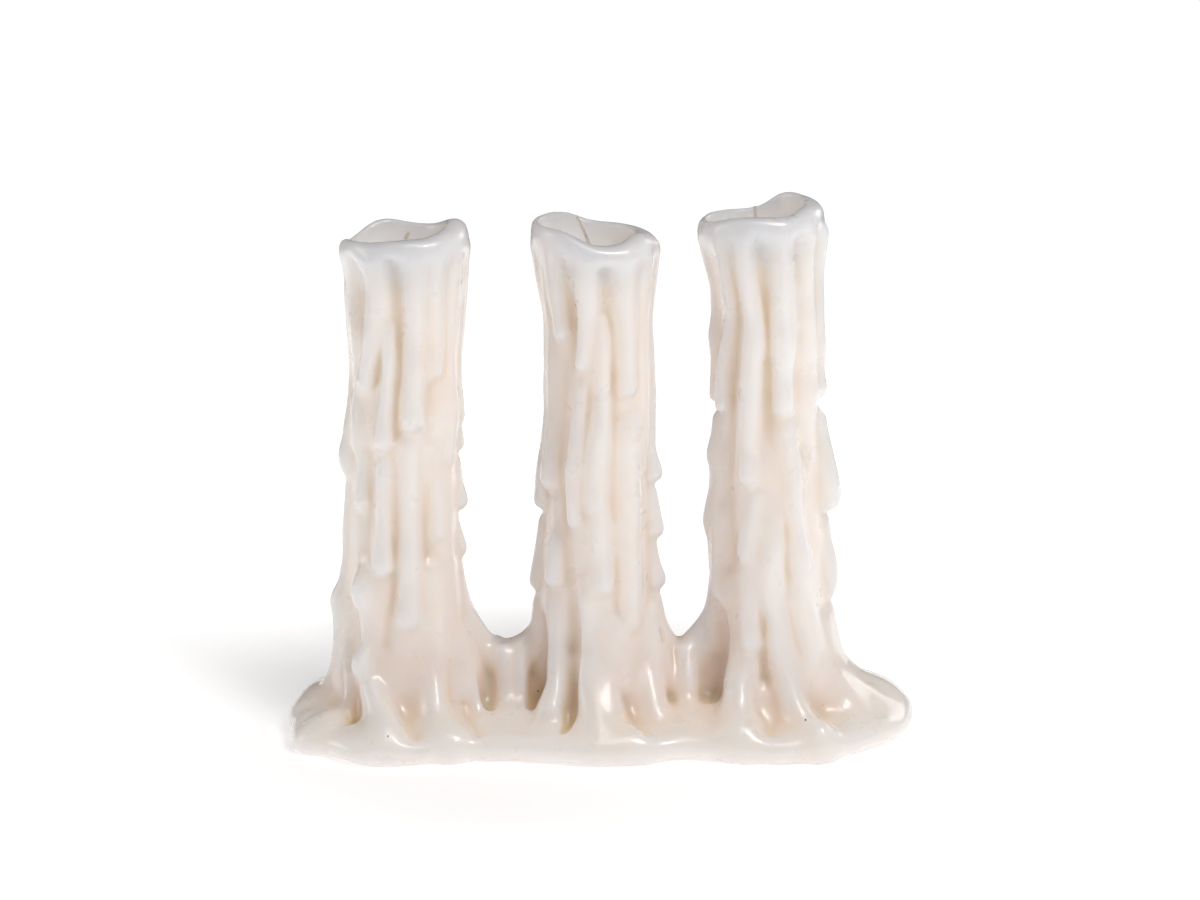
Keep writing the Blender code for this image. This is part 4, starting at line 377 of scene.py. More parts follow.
def closed_curve(points, steps):
    p = np.asarray(points, float); n = len(p); out = []
    for i in range(n):
        a, b, c, d = p[(i - 1) % n], p[i], p[(i + 1) % n], p[(i + 2) % n]
        for s in range(steps):
            t = s / steps
            out.append(0.5 * (2 * b + (c - a) * t + (2 * a - 5 * b + 4 * c - d) * t * t
                              + (3 * b - a - 3 * c + d) * t ** 3))
    return np.asarray(out)

Z_FINE = np.arange(-6.0, 204.0, 0.5)
CORE_MID = {}; CORE_RADIUS = {}; LIP_FINE = {}
for _stem, _rows in CORE.items():
    _z, _x, _r = zip(*_rows)
    CORE_MID[_stem] = curve_table(_z, _x, Z_FINE)
    CORE_RADIUS[_stem] = curve_table(_z, _r, Z_FINE)
    LIP_FINE[_stem] = closed_curve([(v,) for v in LIP[_stem]], 30)[:, 0]

def core_mid(stem, z):
    return np.interp(z, Z_FINE, CORE_MID[stem])

def core_radius(stem, z):
    return np.interp(z, Z_FINE, CORE_RADIUS[stem])

def lip_at(stem, theta):
    u = (np.degrees(theta) + 180.0) % 360.0
    return np.interp(u, np.arange(361), np.append(LIP_FINE[stem], LIP_FINE[stem][0]))

def drip_path(stem, table, steps=4):
    rows = rows_curve(table, steps)
    a = np.radians(rows[:, 0]); z = rows[:, 1]
    r = DRIP_WIDTH * rows[:, 2]
    reach = core_radius(stem, z) + rows[:, 3] - r
    return np.column_stack((core_mid(stem, z) + reach * np.sin(a), -reach * np.cos(a), z, r))

def smin(a, b, k):
    h = np.maximum(k - np.abs(a - b), 0.0) / k
    return np.minimum(a, b) - h * h * h * (k / 6.0)

def smax(a, b, k):
    h = np.maximum(k - np.abs(a - b), 0.0) / k
    return np.maximum(a, b) + h * h * h * (k / 6.0)

class Field:
    def __init__(self, h):
        self.h = h
        self.axes = [np.arange(lo, hi + h, h, dtype=np.float32) for lo, hi in zip(GRID_LOW, GRID_HIGH)]
        self.f = np.full([len(a) for a in self.axes], 40.0, np.float32)

    def window(self, low, high):
        cut = []
        for a, lo, hi in zip(self.axes, low, high):
            i = max(int((lo - a[0]) / self.h), 0)
            j = min(int((hi - a[0]) / self.h) + 2, len(a))
            cut.append(slice(i, max(j, i)))
        x = self.axes[0][cut[0]][:, None, None]
        y = self.axes[1][cut[1]][None, :, None]
        z = self.axes[2][cut[2]][None, None, :]
        return tuple(cut), x, y, z

    def runs(self, path, k, carve=False):
        """Join (or carve) a round run whose centre line and radius are given by rows x, y, z, r."""
        pad = path[:, 3].max() + k + 2.0 * self.h
        cut, x, y, z = self.window(path[:, :3].min(0) - pad, path[:, :3].max(0) + pad)
        if not all(s.stop > s.start for s in cut):
            return
        g = np.full([s.stop - s.start for s in cut], 40.0, np.float32)
        for a, b in zip(path, path[1:]):
            ab = b[:3] - a[:3]
            pad2 = max(a[3], b[3]) + k + 2.0 * self.h
            lo = np.minimum(a[:3], b[:3]) - pad2; hi = np.maximum(a[:3], b[:3]) + pad2
            c2, x2, y2, z2 = self.window(lo, hi)
            c2 = tuple(slice(max(p.start, q.start), min(p.stop, q.stop)) for p, q in zip(c2, cut))
            if not all(s.stop > s.start for s in c2):
                continue
            x2 = self.axes[0][c2[0]][:, None, None]; y2 = self.axes[1][c2[1]][None, :, None]; z2 = self.axes[2][c2[2]][None, None, :]
            px, py, pz = x2 - a[0], y2 - a[1], z2 - a[2]
            n = float(ab @ ab)
            t = np.clip((px * ab[0] + py * ab[1] + pz * ab[2]) / max(n, 1e-9), 0, 1)
            d = np.sqrt((px - ab[0] * t) ** 2 + (py - ab[1] * t) ** 2 + (pz - ab[2] * t) ** 2) - (a[3] + (b[3] - a[3]) * t)
            loc = tuple(slice(p.start - q.start, p.stop - q.start) for p, q in zip(c2, cut))
            g[loc] = np.minimum(g[loc], d)
        sub = self.f[cut]
        self.f[cut] = smax(sub, -g, k) if carve else smin(sub, g, k)

    def lump(self, row, k, carve=False):
        x0, y0, z0, a, b, c = row
        pad = k + 3.0
        cut, x, y, z = self.window((x0 - a - pad, y0 - b - pad, z0 - c - pad), (x0 + a + pad, y0 + b + pad, z0 + c + pad))
        px, py, pz = x - x0, y - y0, z - z0
        q = np.sqrt((px / a) ** 2 + (py / b) ** 2 + (pz / c) ** 2)
        w = np.sqrt((px / a ** 2) ** 2 + (py / b ** 2) ** 2 + (pz / c ** 2) ** 2)
        g = q * (q - 1.0) / np.maximum(w, 1e-6)
        sub = self.f[cut]
        self.f[cut] = smax(sub, -g, k) if carve else smin(sub, g, k)

def smoothstep(a, b, x):
    t = np.clip((x - a) / (b - a), 0, 1)
    return t * t * (3 - 2 * t)

def stem_field(fld, stem):
    mid = float(np.mean(CORE_MID[stem]))
    cut, x, y, z = fld.window((mid - 54, -52, GRID_LOW[2]), (mid + 54, 52, GRID_HIGH[2]))
    cx = core_mid(stem, z).astype(np.float32); rc = core_radius(stem, z).astype(np.float32)
    dx = x - cx
    rho = np.sqrt(dx * dx + y * y); theta = np.arctan2(dx, -y + 0 * z)
    lip = lip_at(stem, theta).astype(np.float32)
    zl = z - lip
    spread = np.cos(theta) ** 2
    side = np.sin(theta)
    if stem == "left":
        spread = np.where(side < 0, np.maximum(spread, 0.6 * side * side), spread)
    elif stem == "right":
        spread = np.where(side > 0, np.maximum(spread, 0.6 * side * side), spread)
    flare = FLARE * np.exp(-np.maximum(z, FLARE_LOW) / FLARE_FALL)
    core = rc + spread * flare
    grow = smoothstep(-(BAND_HEIGHT + 6.0), -(BAND_HEIGHT - 4.0), zl)
    outer = core + (LIP_RADIUS - core) * grow
    slope = np.clip(spread * flare / FLARE_FALL, 0, 2.0)
    rr = (LIP_CORNER[0] + (LIP_CORNER[1] - LIP_CORNER[0]) * (0.5 + 0.5 * side)).astype(np.float32)
    qx = (rho - outer) / np.sqrt(1 + slope * slope) + rr
    qz = zl + rr
    g = np.sqrt(np.maximum(qx, 0) ** 2 + np.maximum(qz, 0) ** 2) + np.minimum(np.maximum(qx, qz), 0) - rr
    sub = fld.f[cut]
    fld.f[cut] = smin(sub, g.astype(np.float32), 8.0)

def cup_field(fld, stem):
    """The melt cup: straight-sided under the lip, then leaning in to a rounded floor."""
    mid = float(core_mid(stem, min(LIP[stem])))
    floor = min(LIP[stem]) - CUP_DEPTH
    cut, x, y, z = fld.window((mid - 28, -28, floor - 6), (mid + 28, 28, GRID_HIGH[2]))
    cx = core_mid(stem, z)
    zl = z - lip_at(stem, np.arctan2(x - cx, -y + 0 * z))
    lean = smoothstep(-CUP_LEAN, 0.0, zl)
    dx = x - cx - CUP_SHIFT * lean
    rho = np.sqrt(dx * dx + y * y)
    bowl = LIP_RADIUS - 2 * LIP_ROUND
    a = bowl - CUP_FLOOR_RADIUS; c = CUP_DEPTH - LIP_ROUND
    px = np.maximum(rho - CUP_FLOOR_RADIUS, 0); pz = np.maximum(floor + c - z, 0)
    q = np.sqrt((px / a) ** 2 + (pz / c) ** 2)
    w = np.sqrt((px / a ** 2) ** 2 + (pz / c ** 2) ** 2)
    g = np.where(q > 1e-4, q * (q - 1) / np.maximum(w, 1e-4), -6.0)
    g = np.clip(g, -6, 30)
    wall = rho - (bowl - CUP_TAPER * np.clip(-zl - 1.5, 0, 20))
    g = smax(g, wall, 2.0)
    sub = fld.f[cut]
    fld.f[cut] = smax(sub, -g.astype(np.float32), CUP_EASE)

def pool_field(fld):
    outline = closed_curve(POOL_OUTLINE, 4)
    x = fld.axes[0][:, None]; y = fld.axes[1][None, :]
    best = np.full((len(fld.axes[0]), len(fld.axes[1])), 1e9, np.float32)
    inside = np.zeros(best.shape, bool)
    n = len(outline)
    for i in range(n):
        a = outline[i]; b = outline[(i + 1) % n]
        ab = b - a; px = x - a[0]; py = y - a[1]
        t = np.clip((px * ab[0] + py * ab[1]) / (ab @ ab), 0, 1)
        best = np.minimum(best, (px - ab[0] * t) ** 2 + (py - ab[1] * t) ** 2)
        cross = ((a[1] > y) != (b[1] > y)) & (x < (b[0] - a[0]) * (y - a[1]) / (b[1] - a[1] + 1e-12) + a[0])
        inside ^= cross
    d = np.sqrt(best) * np.where(inside, -1, 1)
    cut, _, _, z = fld.window(GRID_LOW, (GRID_HIGH[0], GRID_HIGH[1], 34.0))
    d = d[:, :, None].astype(np.float32)
    r = POOL_NOSE
    top = np.interp(-d, POOL_IN, POOL_TOP).astype(np.float32)
    qx = d + r
    qz = np.maximum(z - (top - r), r - z)
    g = np.sqrt(np.maximum(qx, 0) ** 2 + np.maximum(qz, 0) ** 2) + np.minimum(np.maximum(qx, qz), 0) - r
    sub = fld.f[cut]
    fld.f[cut] = smin(sub, g.astype(np.float32), 8.0)

POOL_NOSE = 4.6
POOL_IN = (0.0, 3.4, 8.0, 15.0, 24.0, 33.0)
POOL_TOP = (9.2, 9.4, 10.2, 11.6, 13.4, 15.0)
CUP_EASE = 1.6
SOFT = 4.2       # fillet where a drip meets the stem
SOFT_FOOT = 8.0  # and near the floor

MELT = 0.9
DRIP_WIDTH = 0.86         # the fillets add the rest
UNEVEN = ((0.28, 11.0), (0.10, 5.0))    # (height, grain) of the unevenness

def spread_out(f, sigma):
    """Gaussian blur of a grid, one axis after another."""
    n = int(3 * sigma + 1)
    k = np.exp(-0.5 * (np.arange(-n, n + 1) / sigma) ** 2); k /= k.sum()
    for axis in range(3):
        pad = [(0, 0)] * 3; pad[axis] = (n, n)
        g = np.pad(f, pad, mode="edge"); out = np.zeros_like(f)
        for i, w in enumerate(k):
            cut = [slice(None)] * 3; cut[axis] = slice(i, i + f.shape[axis])
            out += np.float32(w) * g[tuple(cut)]
        f = out
    return f

def rough_field(rng, fld, grain):
    """Smooth random field of unit height: random values on a coarse lattice, joined by cubics."""
    f = None
    shape = [int((a[-1] - a[0]) / grain) + 5 for a in fld.axes]
    f = rng.standard_normal(shape).astype(np.float32)
    for axis, a in enumerate(fld.axes):
        u = (a - a[0]) / grain + 1.5
        i = np.floor(u).astype(int); t = (u - i).astype(np.float32)
        w = ((1 - t) ** 3 / 6, (3 * t ** 3 - 6 * t ** 2 + 4) / 6, (-3 * t ** 3 + 3 * t ** 2 + 3 * t + 1) / 6, t ** 3 / 6)
        shape1 = [1, 1, 1]; shape1[axis] = len(a)
        f = sum(np.take(f, np.clip(i + d - 1, 0, f.shape[axis] - 1), axis=axis) * w[d].reshape(shape1) for d in range(4))
    return f / f.std()

def wax_field(h):
    fld = Field(h)
    pool_field(fld)
    for row in LUMPS:
        fld.lump(row, 5.5)
    for stem in CORE:
        stem_field(fld, stem)
    for table in RUNS[:7]:
        fld.runs(rows_curve(table), 5.0)
    for stem, valleys in VALLEYS.items():
        for table in valleys:
            path = drip_path(stem, [(a, z, w / DRIP_WIDTH, 2.0 * w - deep) for a, z, w, deep in table])
            fld.runs(path, 3.2, carve=True)
    for table in RUNS[7:]:
        fld.runs(rows_curve(table), 4.0)
    for stem, drips in DRIPS.items():
        for table in drips:
            low = min(row[1] for row in table)
            k = SOFT if low > 40 else (SOFT + SOFT_FOOT) / 2 if low > 22 else SOFT_FOOT
            if abs(math.sin(math.radians(table[0][0]))) > 0.97 and low > 22:
                k = 5.0
            fld.runs(drip_path(stem, table), k)
    for table, k in POCKETS:
        fld.runs(rows_curve(table), k, carve=True)
    # the wax ran as a liquid: no crease is sharper than a millimetre, and nothing is quite straight
    fld.f = spread_out(fld.f, MELT / h)
    rng = np.random.default_rng(7)
    for amount, grain in UNEVEN:
        fld.f += amount * rough_field(rng, fld, grain)
    for stem in CORE:
        cup_field(fld, stem)
    z = fld.axes[2][None, None, :]
    fld.f = np.maximum(fld.f, -z).astype(np.float32)
    return fld

def surface(fld):
    """Surface nets: one vertex per crossed cell, one quad per crossed edge."""
    f = fld.f; h = fld.h
    s = f < 0
    nx, ny, nz = f.shape
    count = np.zeros((nx - 1, ny - 1, nz - 1), np.uint8)
    for dx in (0, 1):
        for dy in (0, 1):
            for dz in (0, 1):
                count += s[dx:nx - 1 + dx, dy:ny - 1 + dy, dz:nz - 1 + dz]
    active = (count > 0) & (count < 8)
    cells = np.argwhere(active)
    index = np.full(active.shape, -1, np.int32)
    index[active] = np.arange(len(cells), dtype=np.int32)
    corner = {}
    for dx in (0, 1):
        for dy in (0, 1):
            for dz in (0, 1):
                corner[(dx, dy, dz)] = f[cells[:, 0] + dx, cells[:, 1] + dy, cells[:, 2] + dz].astype(np.float64)
    total = np.zeros((len(cells), 3)); hits = np.zeros(len(cells))
    for p in corner:
        for axis in range(3):
            if p[axis]:
                continue
            q = list(p); q[axis] = 1; q = tuple(q)
            a, b = corner[p], corner[q]
            m = (a < 0) != (b < 0)
            t = np.where(m, a / np.where(m, a - b, 1), 0)
            pos = np.tile(np.asarray(p, float), (len(cells), 1))
            pos[:, axis] = t
            total += pos * m[:, None]; hits += m
    verts = (cells + total / hits[:, None]) * h + np.asarray(GRID_LOW)
    quads = []
    for axis in range(3):
        a = [slice(None)] * 3; b = [slice(None)] * 3
        a[axis] = slice(0, -1); b[axis] = slice(1, None)
        sa, sb = s[tuple(a)], s[tuple(b)]
        change = sa != sb
        u, v = [i for i in range(3) if i != axis]
        lim = [slice(None)] * 3
        e = np.argwhere(change)
        e = e[(e[:, u] > 0) & (e[:, v] > 0) & (e[:, u] < f.shape[u] - 1) & (e[:, v] < f.shape[v] - 1)]
        def cell(du, dv):
            c = e.copy(); c[:, u] -= du; c[:, v] -= dv
            return index[c[:, 0], c[:, 1], c[:, 2]]
        q = np.column_stack((cell(1, 1), cell(0, 1), cell(0, 0), cell(1, 0)))
        out = sa[e[:, 0], e[:, 1], e[:, 2]]          # inside below: normal along +axis
        if axis == 1:
            out = ~out
        q[~out] = q[~out][:, ::-1]
        quads.append(q)
    return verts, np.concatenate(quads)

def sample(f, h, p):
    """Trilinear value of a grid at points."""
    u = (p - np.asarray(GRID_LOW)) / h
    i = np.clip(np.floor(u).astype(int), 0, np.asarray(f.shape) - 2)
    t = u - i
    c = [[[f[i[:, 0] + a, i[:, 1] + b, i[:, 2] + d].astype(np.float64) for d in (0, 1)] for b in (0, 1)] for a in (0, 1)]
    tx, ty, tz = t.T
    def mix(a, b, s):
        return a + (b - a) * s
    x00 = mix(c[0][0][0], c[1][0][0], tx); x10 = mix(c[0][1][0], c[1][1][0], tx)
    x01 = mix(c[0][0][1], c[1][0][1], tx); x11 = mix(c[0][1][1], c[1][1][1], tx)
    y0 = mix(x00, x10, ty); y1 = mix(x01, x11, ty)
    return mix(y0, y1, tz)

def gradient(f, h, p, e=0.6):
    g = np.empty_like(p)
    for k in range(3):
        d = np.zeros(3); d[k] = e
        g[:, k] = (sample(f, h, p + d) - sample(f, h, p - d)) / (2 * e)
    return g

def project(fld, verts, rounds=3):
    p = verts.copy()
    for _ in range(rounds):
        v = sample(fld.f, fld.h, p)
        g = gradient(fld.f, fld.h, p, 0.5 * fld.h)
        n = np.maximum((g * g).sum(1), 0.05)
        step = (v / n)[:, None] * g
        length = np.linalg.norm(step, axis=1)
        step *= np.minimum(1, 0.5 * fld.h / np.maximum(length, 1e-9))[:, None]
        p -= step
    return p

# ------------------------------------------------------------------ attributes of the wax surface
def blurred(a, sigma, h):
    """Gaussian blur of a grid, one axis after another."""
    s = sigma / h; n = int(math.ceil(2.6 * s))
    w = np.exp(-0.5 * (np.arange(-n, n + 1) / s) ** 2); w = (w / w.sum()).astype(np.float32)
    for axis in range(3):
        pad = [(0, 0)] * 3; pad[axis] = (n, n)
        b = np.pad(a, pad, mode="edge")
        out = np.zeros_like(a)
        for i, wi in enumerate(w):
            cut = [slice(None)] * 3; cut[axis] = slice(i, i + a.shape[axis])
            out += wi * b[tuple(cut)]
        a = out
    return a

def attribute(mesh, name, values):
    at = mesh.attributes.new(name, "FLOAT", "POINT")
    at.data.foreach_set("value", np.asarray(values, np.float32))

# ------------------------------------------------------------------ material helpers
class Nodes:
    """A short way to write a node tree."""
    def __init__(self, name):
        self.m = bpy.data.materials.new(name)
        self.m.use_nodes = True
        self.t = self.m.node_tree
        self.b = next(n for n in self.t.nodes if n.type == "BSDF_PRINCIPLED")

    def add(self, kind, inputs=(), **props):
        n = self.t.nodes.new(kind)
        for k, v in props.items():
            setattr(n, k, v)
        for k, v in dict(inputs).items():
            self.put(n.inputs[k], v)
        return n

    def put(self, socket, v):
        if isinstance(v, bpy.types.NodeSocket):
            self.t.links.new(v, socket)
        else:
            socket.default_value = v

    def attr(self, name):
        return self.add("ShaderNodeAttribute", attribute_name=name).outputs["Fac"]

    def math(self, op, a, b=0.0, clamp=False):
        n = self.add("ShaderNodeMath", operation=op, use_clamp=clamp)
        self.put(n.inputs[0], a); self.put(n.inputs[1], b)
        return n.outputs[0]

    def ramp(self, value, stops):
        n = self.add("ShaderNodeMapRange", {"Value": value, "From Min": stops[0], "From Max": stops[1],
                                            "To Min": stops[2], "To Max": stops[3]}, interpolation_type="SMOOTHSTEP")
        return n.outputs["Result"]

    def mix(self, fac, a, b):
        n = self.add("ShaderNodeMix", data_type="RGBA")
        self.put(n.inputs[0], fac); self.put(n.inputs[6], a); self.put(n.inputs[7], b)
        return n.outputs[2]

    def noise(self, scale, detail=2.0, rough=0.5, vector=None, offset=0.0):
        co = vector or self.add("ShaderNodeTexCoord").outputs["Object"]
        if offset:
            co = self.add("ShaderNodeVectorMath", {0: co, 1: (offset, offset * 0.7, -offset)}, operation="ADD").outputs[0]
        n = self.add("ShaderNodeTexNoise", {"Vector": co, "Scale": scale, "Detail": detail, "Roughness": rough})
        return n.outputs["Fac"]

def rgb(r, g, b):
    """An sRGB colour given 0-255, as linear RGBA."""
    out = []
    for c in (r, g, b):
        c /= 255.0
        out.append(c / 12.92 if c <= 0.04045 else ((c + 0.055) / 1.055) ** 2.4)
    return tuple(out) + (1.0,)

# ------------------------------------------------------------------ the wax casting
def make_wax():
    fld = wax_field(GRID_STEP)
    verts, quads = surface(fld)
    verts = project(fld, verts)
    verts[:, 2] = np.maximum(verts[:, 2], 0.0)
    mesh = bpy.data.meshes.new("wax_casting")
    mesh.from_pydata(verts.tolist(), [], quads.tolist())
    mesh.update()
    wax = bpy.data.objects.new("wax_casting", mesh)
    bpy.context.scene.collection.objects.link(wax)
    # keep the faces where the surface bends, and stay under FACE_LIMIT faces
    faces = 2 * len(quads)
    if faces > FACE_LIMIT:
        thin = wax.modifiers.new("thin", "DECIMATE")
        thin.ratio = FACE_LIMIT / faces
        done = bpy.data.meshes.new_from_object(wax.evaluated_get(bpy.context.evaluated_depsgraph_get()))
        wax.modifiers.clear()
        wax.data = done
        bpy.data.meshes.remove(mesh)
        mesh = done
        mesh.name = "wax_casting"
    co = np.zeros(3 * len(mesh.vertices)); mesh.vertices.foreach_get("co", co)
    p = project(fld, co.reshape(-1, 3), 2)
    p[:, 2] = np.maximum(p[:, 2], 0.0)
    flat = p[:, 2] < 0.05
    # what the surface looks like round each point: how deep it lies, fine and broad; from these the material paints
    # shade into the hollows and light onto the ridges
    full = np.clip(0.5 - fld.f / (1.6 * fld.h), 0, 1).astype(np.float32)
    fine = sample(blurred(full, 2.4, fld.h), fld.h, p)
    broad = sample(blurred(full, 6.5, fld.h), fld.h, p)
    normal = gradient(fld.f, fld.h, p, 0.7)
    normal /= np.maximum(np.linalg.norm(normal, axis=1), 1e-6)[:, None]
    normal[flat] = (0, 0, -1)
    # under the lip: 1 on the smooth band at each stem's top, 0 below it; the material paints light into this band
    band = np.zeros(len(p))
    for stem in CORE:
        dx = p[:, 0] - core_mid(stem, p[:, 2])
        near = np.hypot(dx, p[:, 1]) < 34
        zl = p[:, 2] - lip_at(stem, np.arctan2(dx, -p[:, 1]))
        band = np.maximum(band, np.where(near, smoothstep(-BAND_FADE[0], -BAND_FADE[1], zl), 0))
    attribute(mesh, "deep_fine", fine)
    attribute(mesh, "deep_broad", broad)
    attribute(mesh, "band", band)
    # the finished size is the CAD part's own
    lo, hi = p.min(0), p.max(0)
    box_lo, box_hi = np.array(WAX_BOX[0]) * 1000, np.array(WAX_BOX[1]) * 1000
    scale = (box_hi - box_lo) / (hi - lo)
    print("wax", len(mesh.polygons), "faces; fitted to the CAD box by", scale.round(4), "from", lo.round(2), hi.round(2))
    p = (box_lo + (p - lo) * scale) / 1000.0
    normal /= scale; normal /= np.linalg.norm(normal, axis=1)[:, None]
    mesh.vertices.foreach_set("co", p.ravel())
    mesh.update()
    mesh.shade_smooth()
    mesh.normals_split_custom_set_from_vertices(normal.tolist())
    return wax

def wax_material():
    n = Nodes("candle_wax")
    b = n.b
    fine, broad, band = n.attr("deep_fine"), n.attr("deep_broad"), n.attr("band")
    # clouding in the wax, from hand-sized down to a grain
    cloud = n.noise(38.0, 3.0, 0.55)
    small = n.noise(210.0, 2.0, 0.5, offset=3.1)
    base = n.mix(n.ramp(cloud, (0.32, 0.68, 0.0, 1.0)), COLOUR_BODY_A, COLOUR_BODY_B)
    # painted shade: the hollows, valleys and folds are painted a darker tan, where shade falls
    deep = n.math("ADD", n.ramp(fine, (0.52, 0.72, 0.0, 0.70)), n.ramp(broad, (0.58, 0.84, 0.0, 0.7)), clamp=True)
    base = n.mix(deep, base, COLOUR_PAINTED_SHADE_AND_MOTTLE)
    # painted light: the ridges and thin drips are painted whiter and pinker, as where light shines through them
    ridge_light = n.ramp(fine, (0.47, 0.30, 0.0, 0.7))
    base = n.mix(ridge_light, base, COLOUR_PAINTED_RIDGE_LIGHT)
    # painted light: the smooth band under the lip is painted whiter and pinker, as where light shines through the thin
    # rim
    base = n.mix(n.math("MULTIPLY", band, 0.75), base, COLOUR_PAINTED_BAND_LIGHT)
    # a fine random mottle in the same darker tan
    base = n.mix(n.ramp(small, (0.60, 0.80, 0.0, 0.10)), base, COLOUR_PAINTED_SHADE_AND_MOTTLE)
    # specks of soot and grit that have set in the wax
    place = n.add("ShaderNodeVectorMath", {0: n.add("ShaderNodeTexCoord").outputs["Object"], 1: (1000.0, 250.0, 1000.0)}, operation="MULTIPLY").outputs[0]
    for x, y, z, size, dark in SPECKS:
        off = n.add("ShaderNodeVectorMath", {0: place, 1: (x, y / 4, z)}, operation="DISTANCE").outputs["Value"]
        base = n.mix(n.ramp(off, (size * 1.15, size * 0.55, 0.0, dark)), base, COLOUR_SPECK)
    n.put(b.inputs["Base Color"], base)
    b.inputs["Subsurface Weight"].default_value = SUB_WEIGHT
    b.inputs["Subsurface Radius"].default_value = SUB_RADIUS
    b.inputs["Subsurface Scale"].default_value = SUB_SCALE
    b.inputs["IOR"].default_value = 1.44
    b.inputs["Specular IOR Level"].default_value = 0.5
    b.inputs["Coat Weight"].default_value = COAT
    b.inputs["Coat Roughness"].default_value = COAT_ROUGH
    b.inputs["Coat IOR"].default_value = 1.44
    # bloom: dull patches and small polished ones
    rough = n.ramp(n.noise(95.0, 3.0, 0.6, offset=7.7), (0.3, 0.7, ROUGH[0], ROUGH[1]))
    n.put(b.inputs["Roughness"], rough)
    height = n.math("ADD", n.math("MULTIPLY", n.noise(260.0, 3.0, 0.55, offset=1.3), 0.00022),
                    n.math("MULTIPLY", n.noise(1100.0, 2.0, 0.5, offset=5.9), 0.000035))
    bump = n.add("ShaderNodeBump", {"Height": height, "Strength": 0.55, "Distance": 1.0})
    n.put(b.inputs["Normal"], bump.outputs["Normal"])
    return n.m

# ------------------------------------------------------------------ the cotton wicks
def make_wick(stem):
    """Three plaited strands, each laid up from yarns, thinning at the cut end."""
    (bx, by), tip = WICKS[stem]
    floor = min(LIP[stem]) - CUP_DEPTH
    line = rows_curve([(bx, by, floor - 9.0), (bx, by, floor - 4.0)] + [p for p in tip], 10)
    step = np.linalg.norm(np.diff(line, axis=0), axis=1)
    s = np.concatenate(([0], np.cumsum(step)))
    n = int(s[-1] / 0.14) + 1
    at = np.linspace(0, s[-1] - 0.35, n)
    mid = np.column_stack([np.interp(at, s, line[:, k]) for k in range(3)])
    t = np.gradient(mid, axis=0); t /= np.linalg.norm(t, axis=1)[:, None]
    side = np.cross(t, (0.0, 1.0, 0.0)); side /= np.linalg.norm(side, axis=1)[:, None]
    up = np.cross(t, side)
    verts, faces = [], []
    ring = 14
    for strand in range(3):
        ph = 2 * math.pi * at / 2.7 + strand * 2 * math.pi / 3
        a, c = 0.36 * np.sin(ph), 0.19 * np.sin(2 * ph)
        centre = mid + side * a[:, None] + up * c[:, None]
        base = len(verts)
        for i in range(n):
            end = min(1.0, (n - 1 - i) / 5.0)
            for j in range(ring):
                w = 2 * math.pi * j / ring
                yarn = 1.0 + 0.13 * abs(math.sin(2.0 * (w + 2 * math.pi * at[i] / 1.5)))
                r = 0.30 * yarn * (0.55 + 0.45 * math.sqrt(end))
                q = centre[i] + r * (math.cos(w) * side[i] + math.sin(w) * up[i])
                verts.append(tuple(q / 1000.0))
        for i in range(n - 1):
            for j in range(ring):
                k = (j + 1) % ring
                faces.append((base + i * ring + j, base + i * ring + k, base + (i + 1) * ring + k, base + (i + 1) * ring + j))
        faces.append(tuple(base + j for j in reversed(range(ring))))
        faces.append(tuple(base + (n - 1) * ring + j for j in range(ring)))
    mesh = bpy.data.meshes.new("cotton_wick_" + stem)
    mesh.from_pydata(verts, [], faces)
    mesh.update(); mesh.shade_smooth()
    wick = bpy.data.objects.new("cotton_wick_" + stem, mesh)
    bpy.context.scene.collection.objects.link(wick)
    return wick

def wick_material():
    n = Nodes("wick_cotton")
    b = n.b
    fibres = n.noise(2600.0, 3.0, 0.65)
    stain = n.noise(420.0, 2.0, 0.5, offset=2.2)
    base = n.mix(n.ramp(fibres, (0.3, 0.7, 0.0, 1.0)), rgb(250, 246, 238), rgb(236, 228, 214))
    base = n.mix(n.ramp(stain, (0.5, 0.75, 0.0, 0.45)), base, rgb(214, 200, 176))
    n.put(b.inputs["Base Color"], base)
    n.put(b.inputs["Roughness"], n.ramp(fibres, (0.3, 0.7, 0.62, 0.85)))
    b.inputs["Sheen Weight"].default_value = 0.3
    b.inputs["Sheen Roughness"].default_value = 0.5
    b.inputs["Subsurface Weight"].default_value = 0.3
    b.inputs["Subsurface Radius"].default_value = (0.0012, 0.001, 0.0008)
    bump = n.add("ShaderNodeBump", {"Height": n.math("MULTIPLY", fibres, 0.00006), "Strength": 0.8, "Distance": 1.0})
    n.put(b.inputs["Normal"], bump.outputs["Normal"])
    return n.m

# ------------------------------------------------------------------ settings of the look
GRID_STEP = 1.0
FACE_LIMIT = 197000
BAND_FADE = (13.0, 6.0)
COLOUR_BODY_A = rgb(248, 238, 233)
COLOUR_BODY_B = rgb(246, 234, 227)
# painted shade of the hollows, also a fine random mottle
COLOUR_PAINTED_SHADE_AND_MOTTLE = rgb(223, 212, 192)
# painted light on the ridges
COLOUR_PAINTED_RIDGE_LIGHT = rgb(249, 240, 240)
# painted light in the band under the lip
COLOUR_PAINTED_BAND_LIGHT = rgb(255, 241, 242)
COLOUR_SPECK = rgb(70, 58, 48)
# (x, y, z, radius, how dark)
SPECKS = ((-74.8, -44.6, 11.0, 0.36, 0.9), (-22.6, -9.4, 15.8, 0.34, 0.9), (73.2, -32.6, 18.5, 0.28, 0.8),
          (80.3, -24.2, 15.2, 0.30, 0.7), (73.0, -36.5, 14.3, 0.36, 0.95), (-12.0, 46.5, 7.0, 0.34, 0.8),
          (52.0, 40.5, 9.0, 0.30, 0.8), (-60.5, 20.0, 96.0, 0.30, 0.7))
SUB_WEIGHT = 1.0
SUB_RADIUS = (1.0, 0.87, 0.72)
SUB_SCALE = 0.022
COAT, COAT_ROUGH = 0.6, 0.09
ROUGH = (0.26, 0.42)

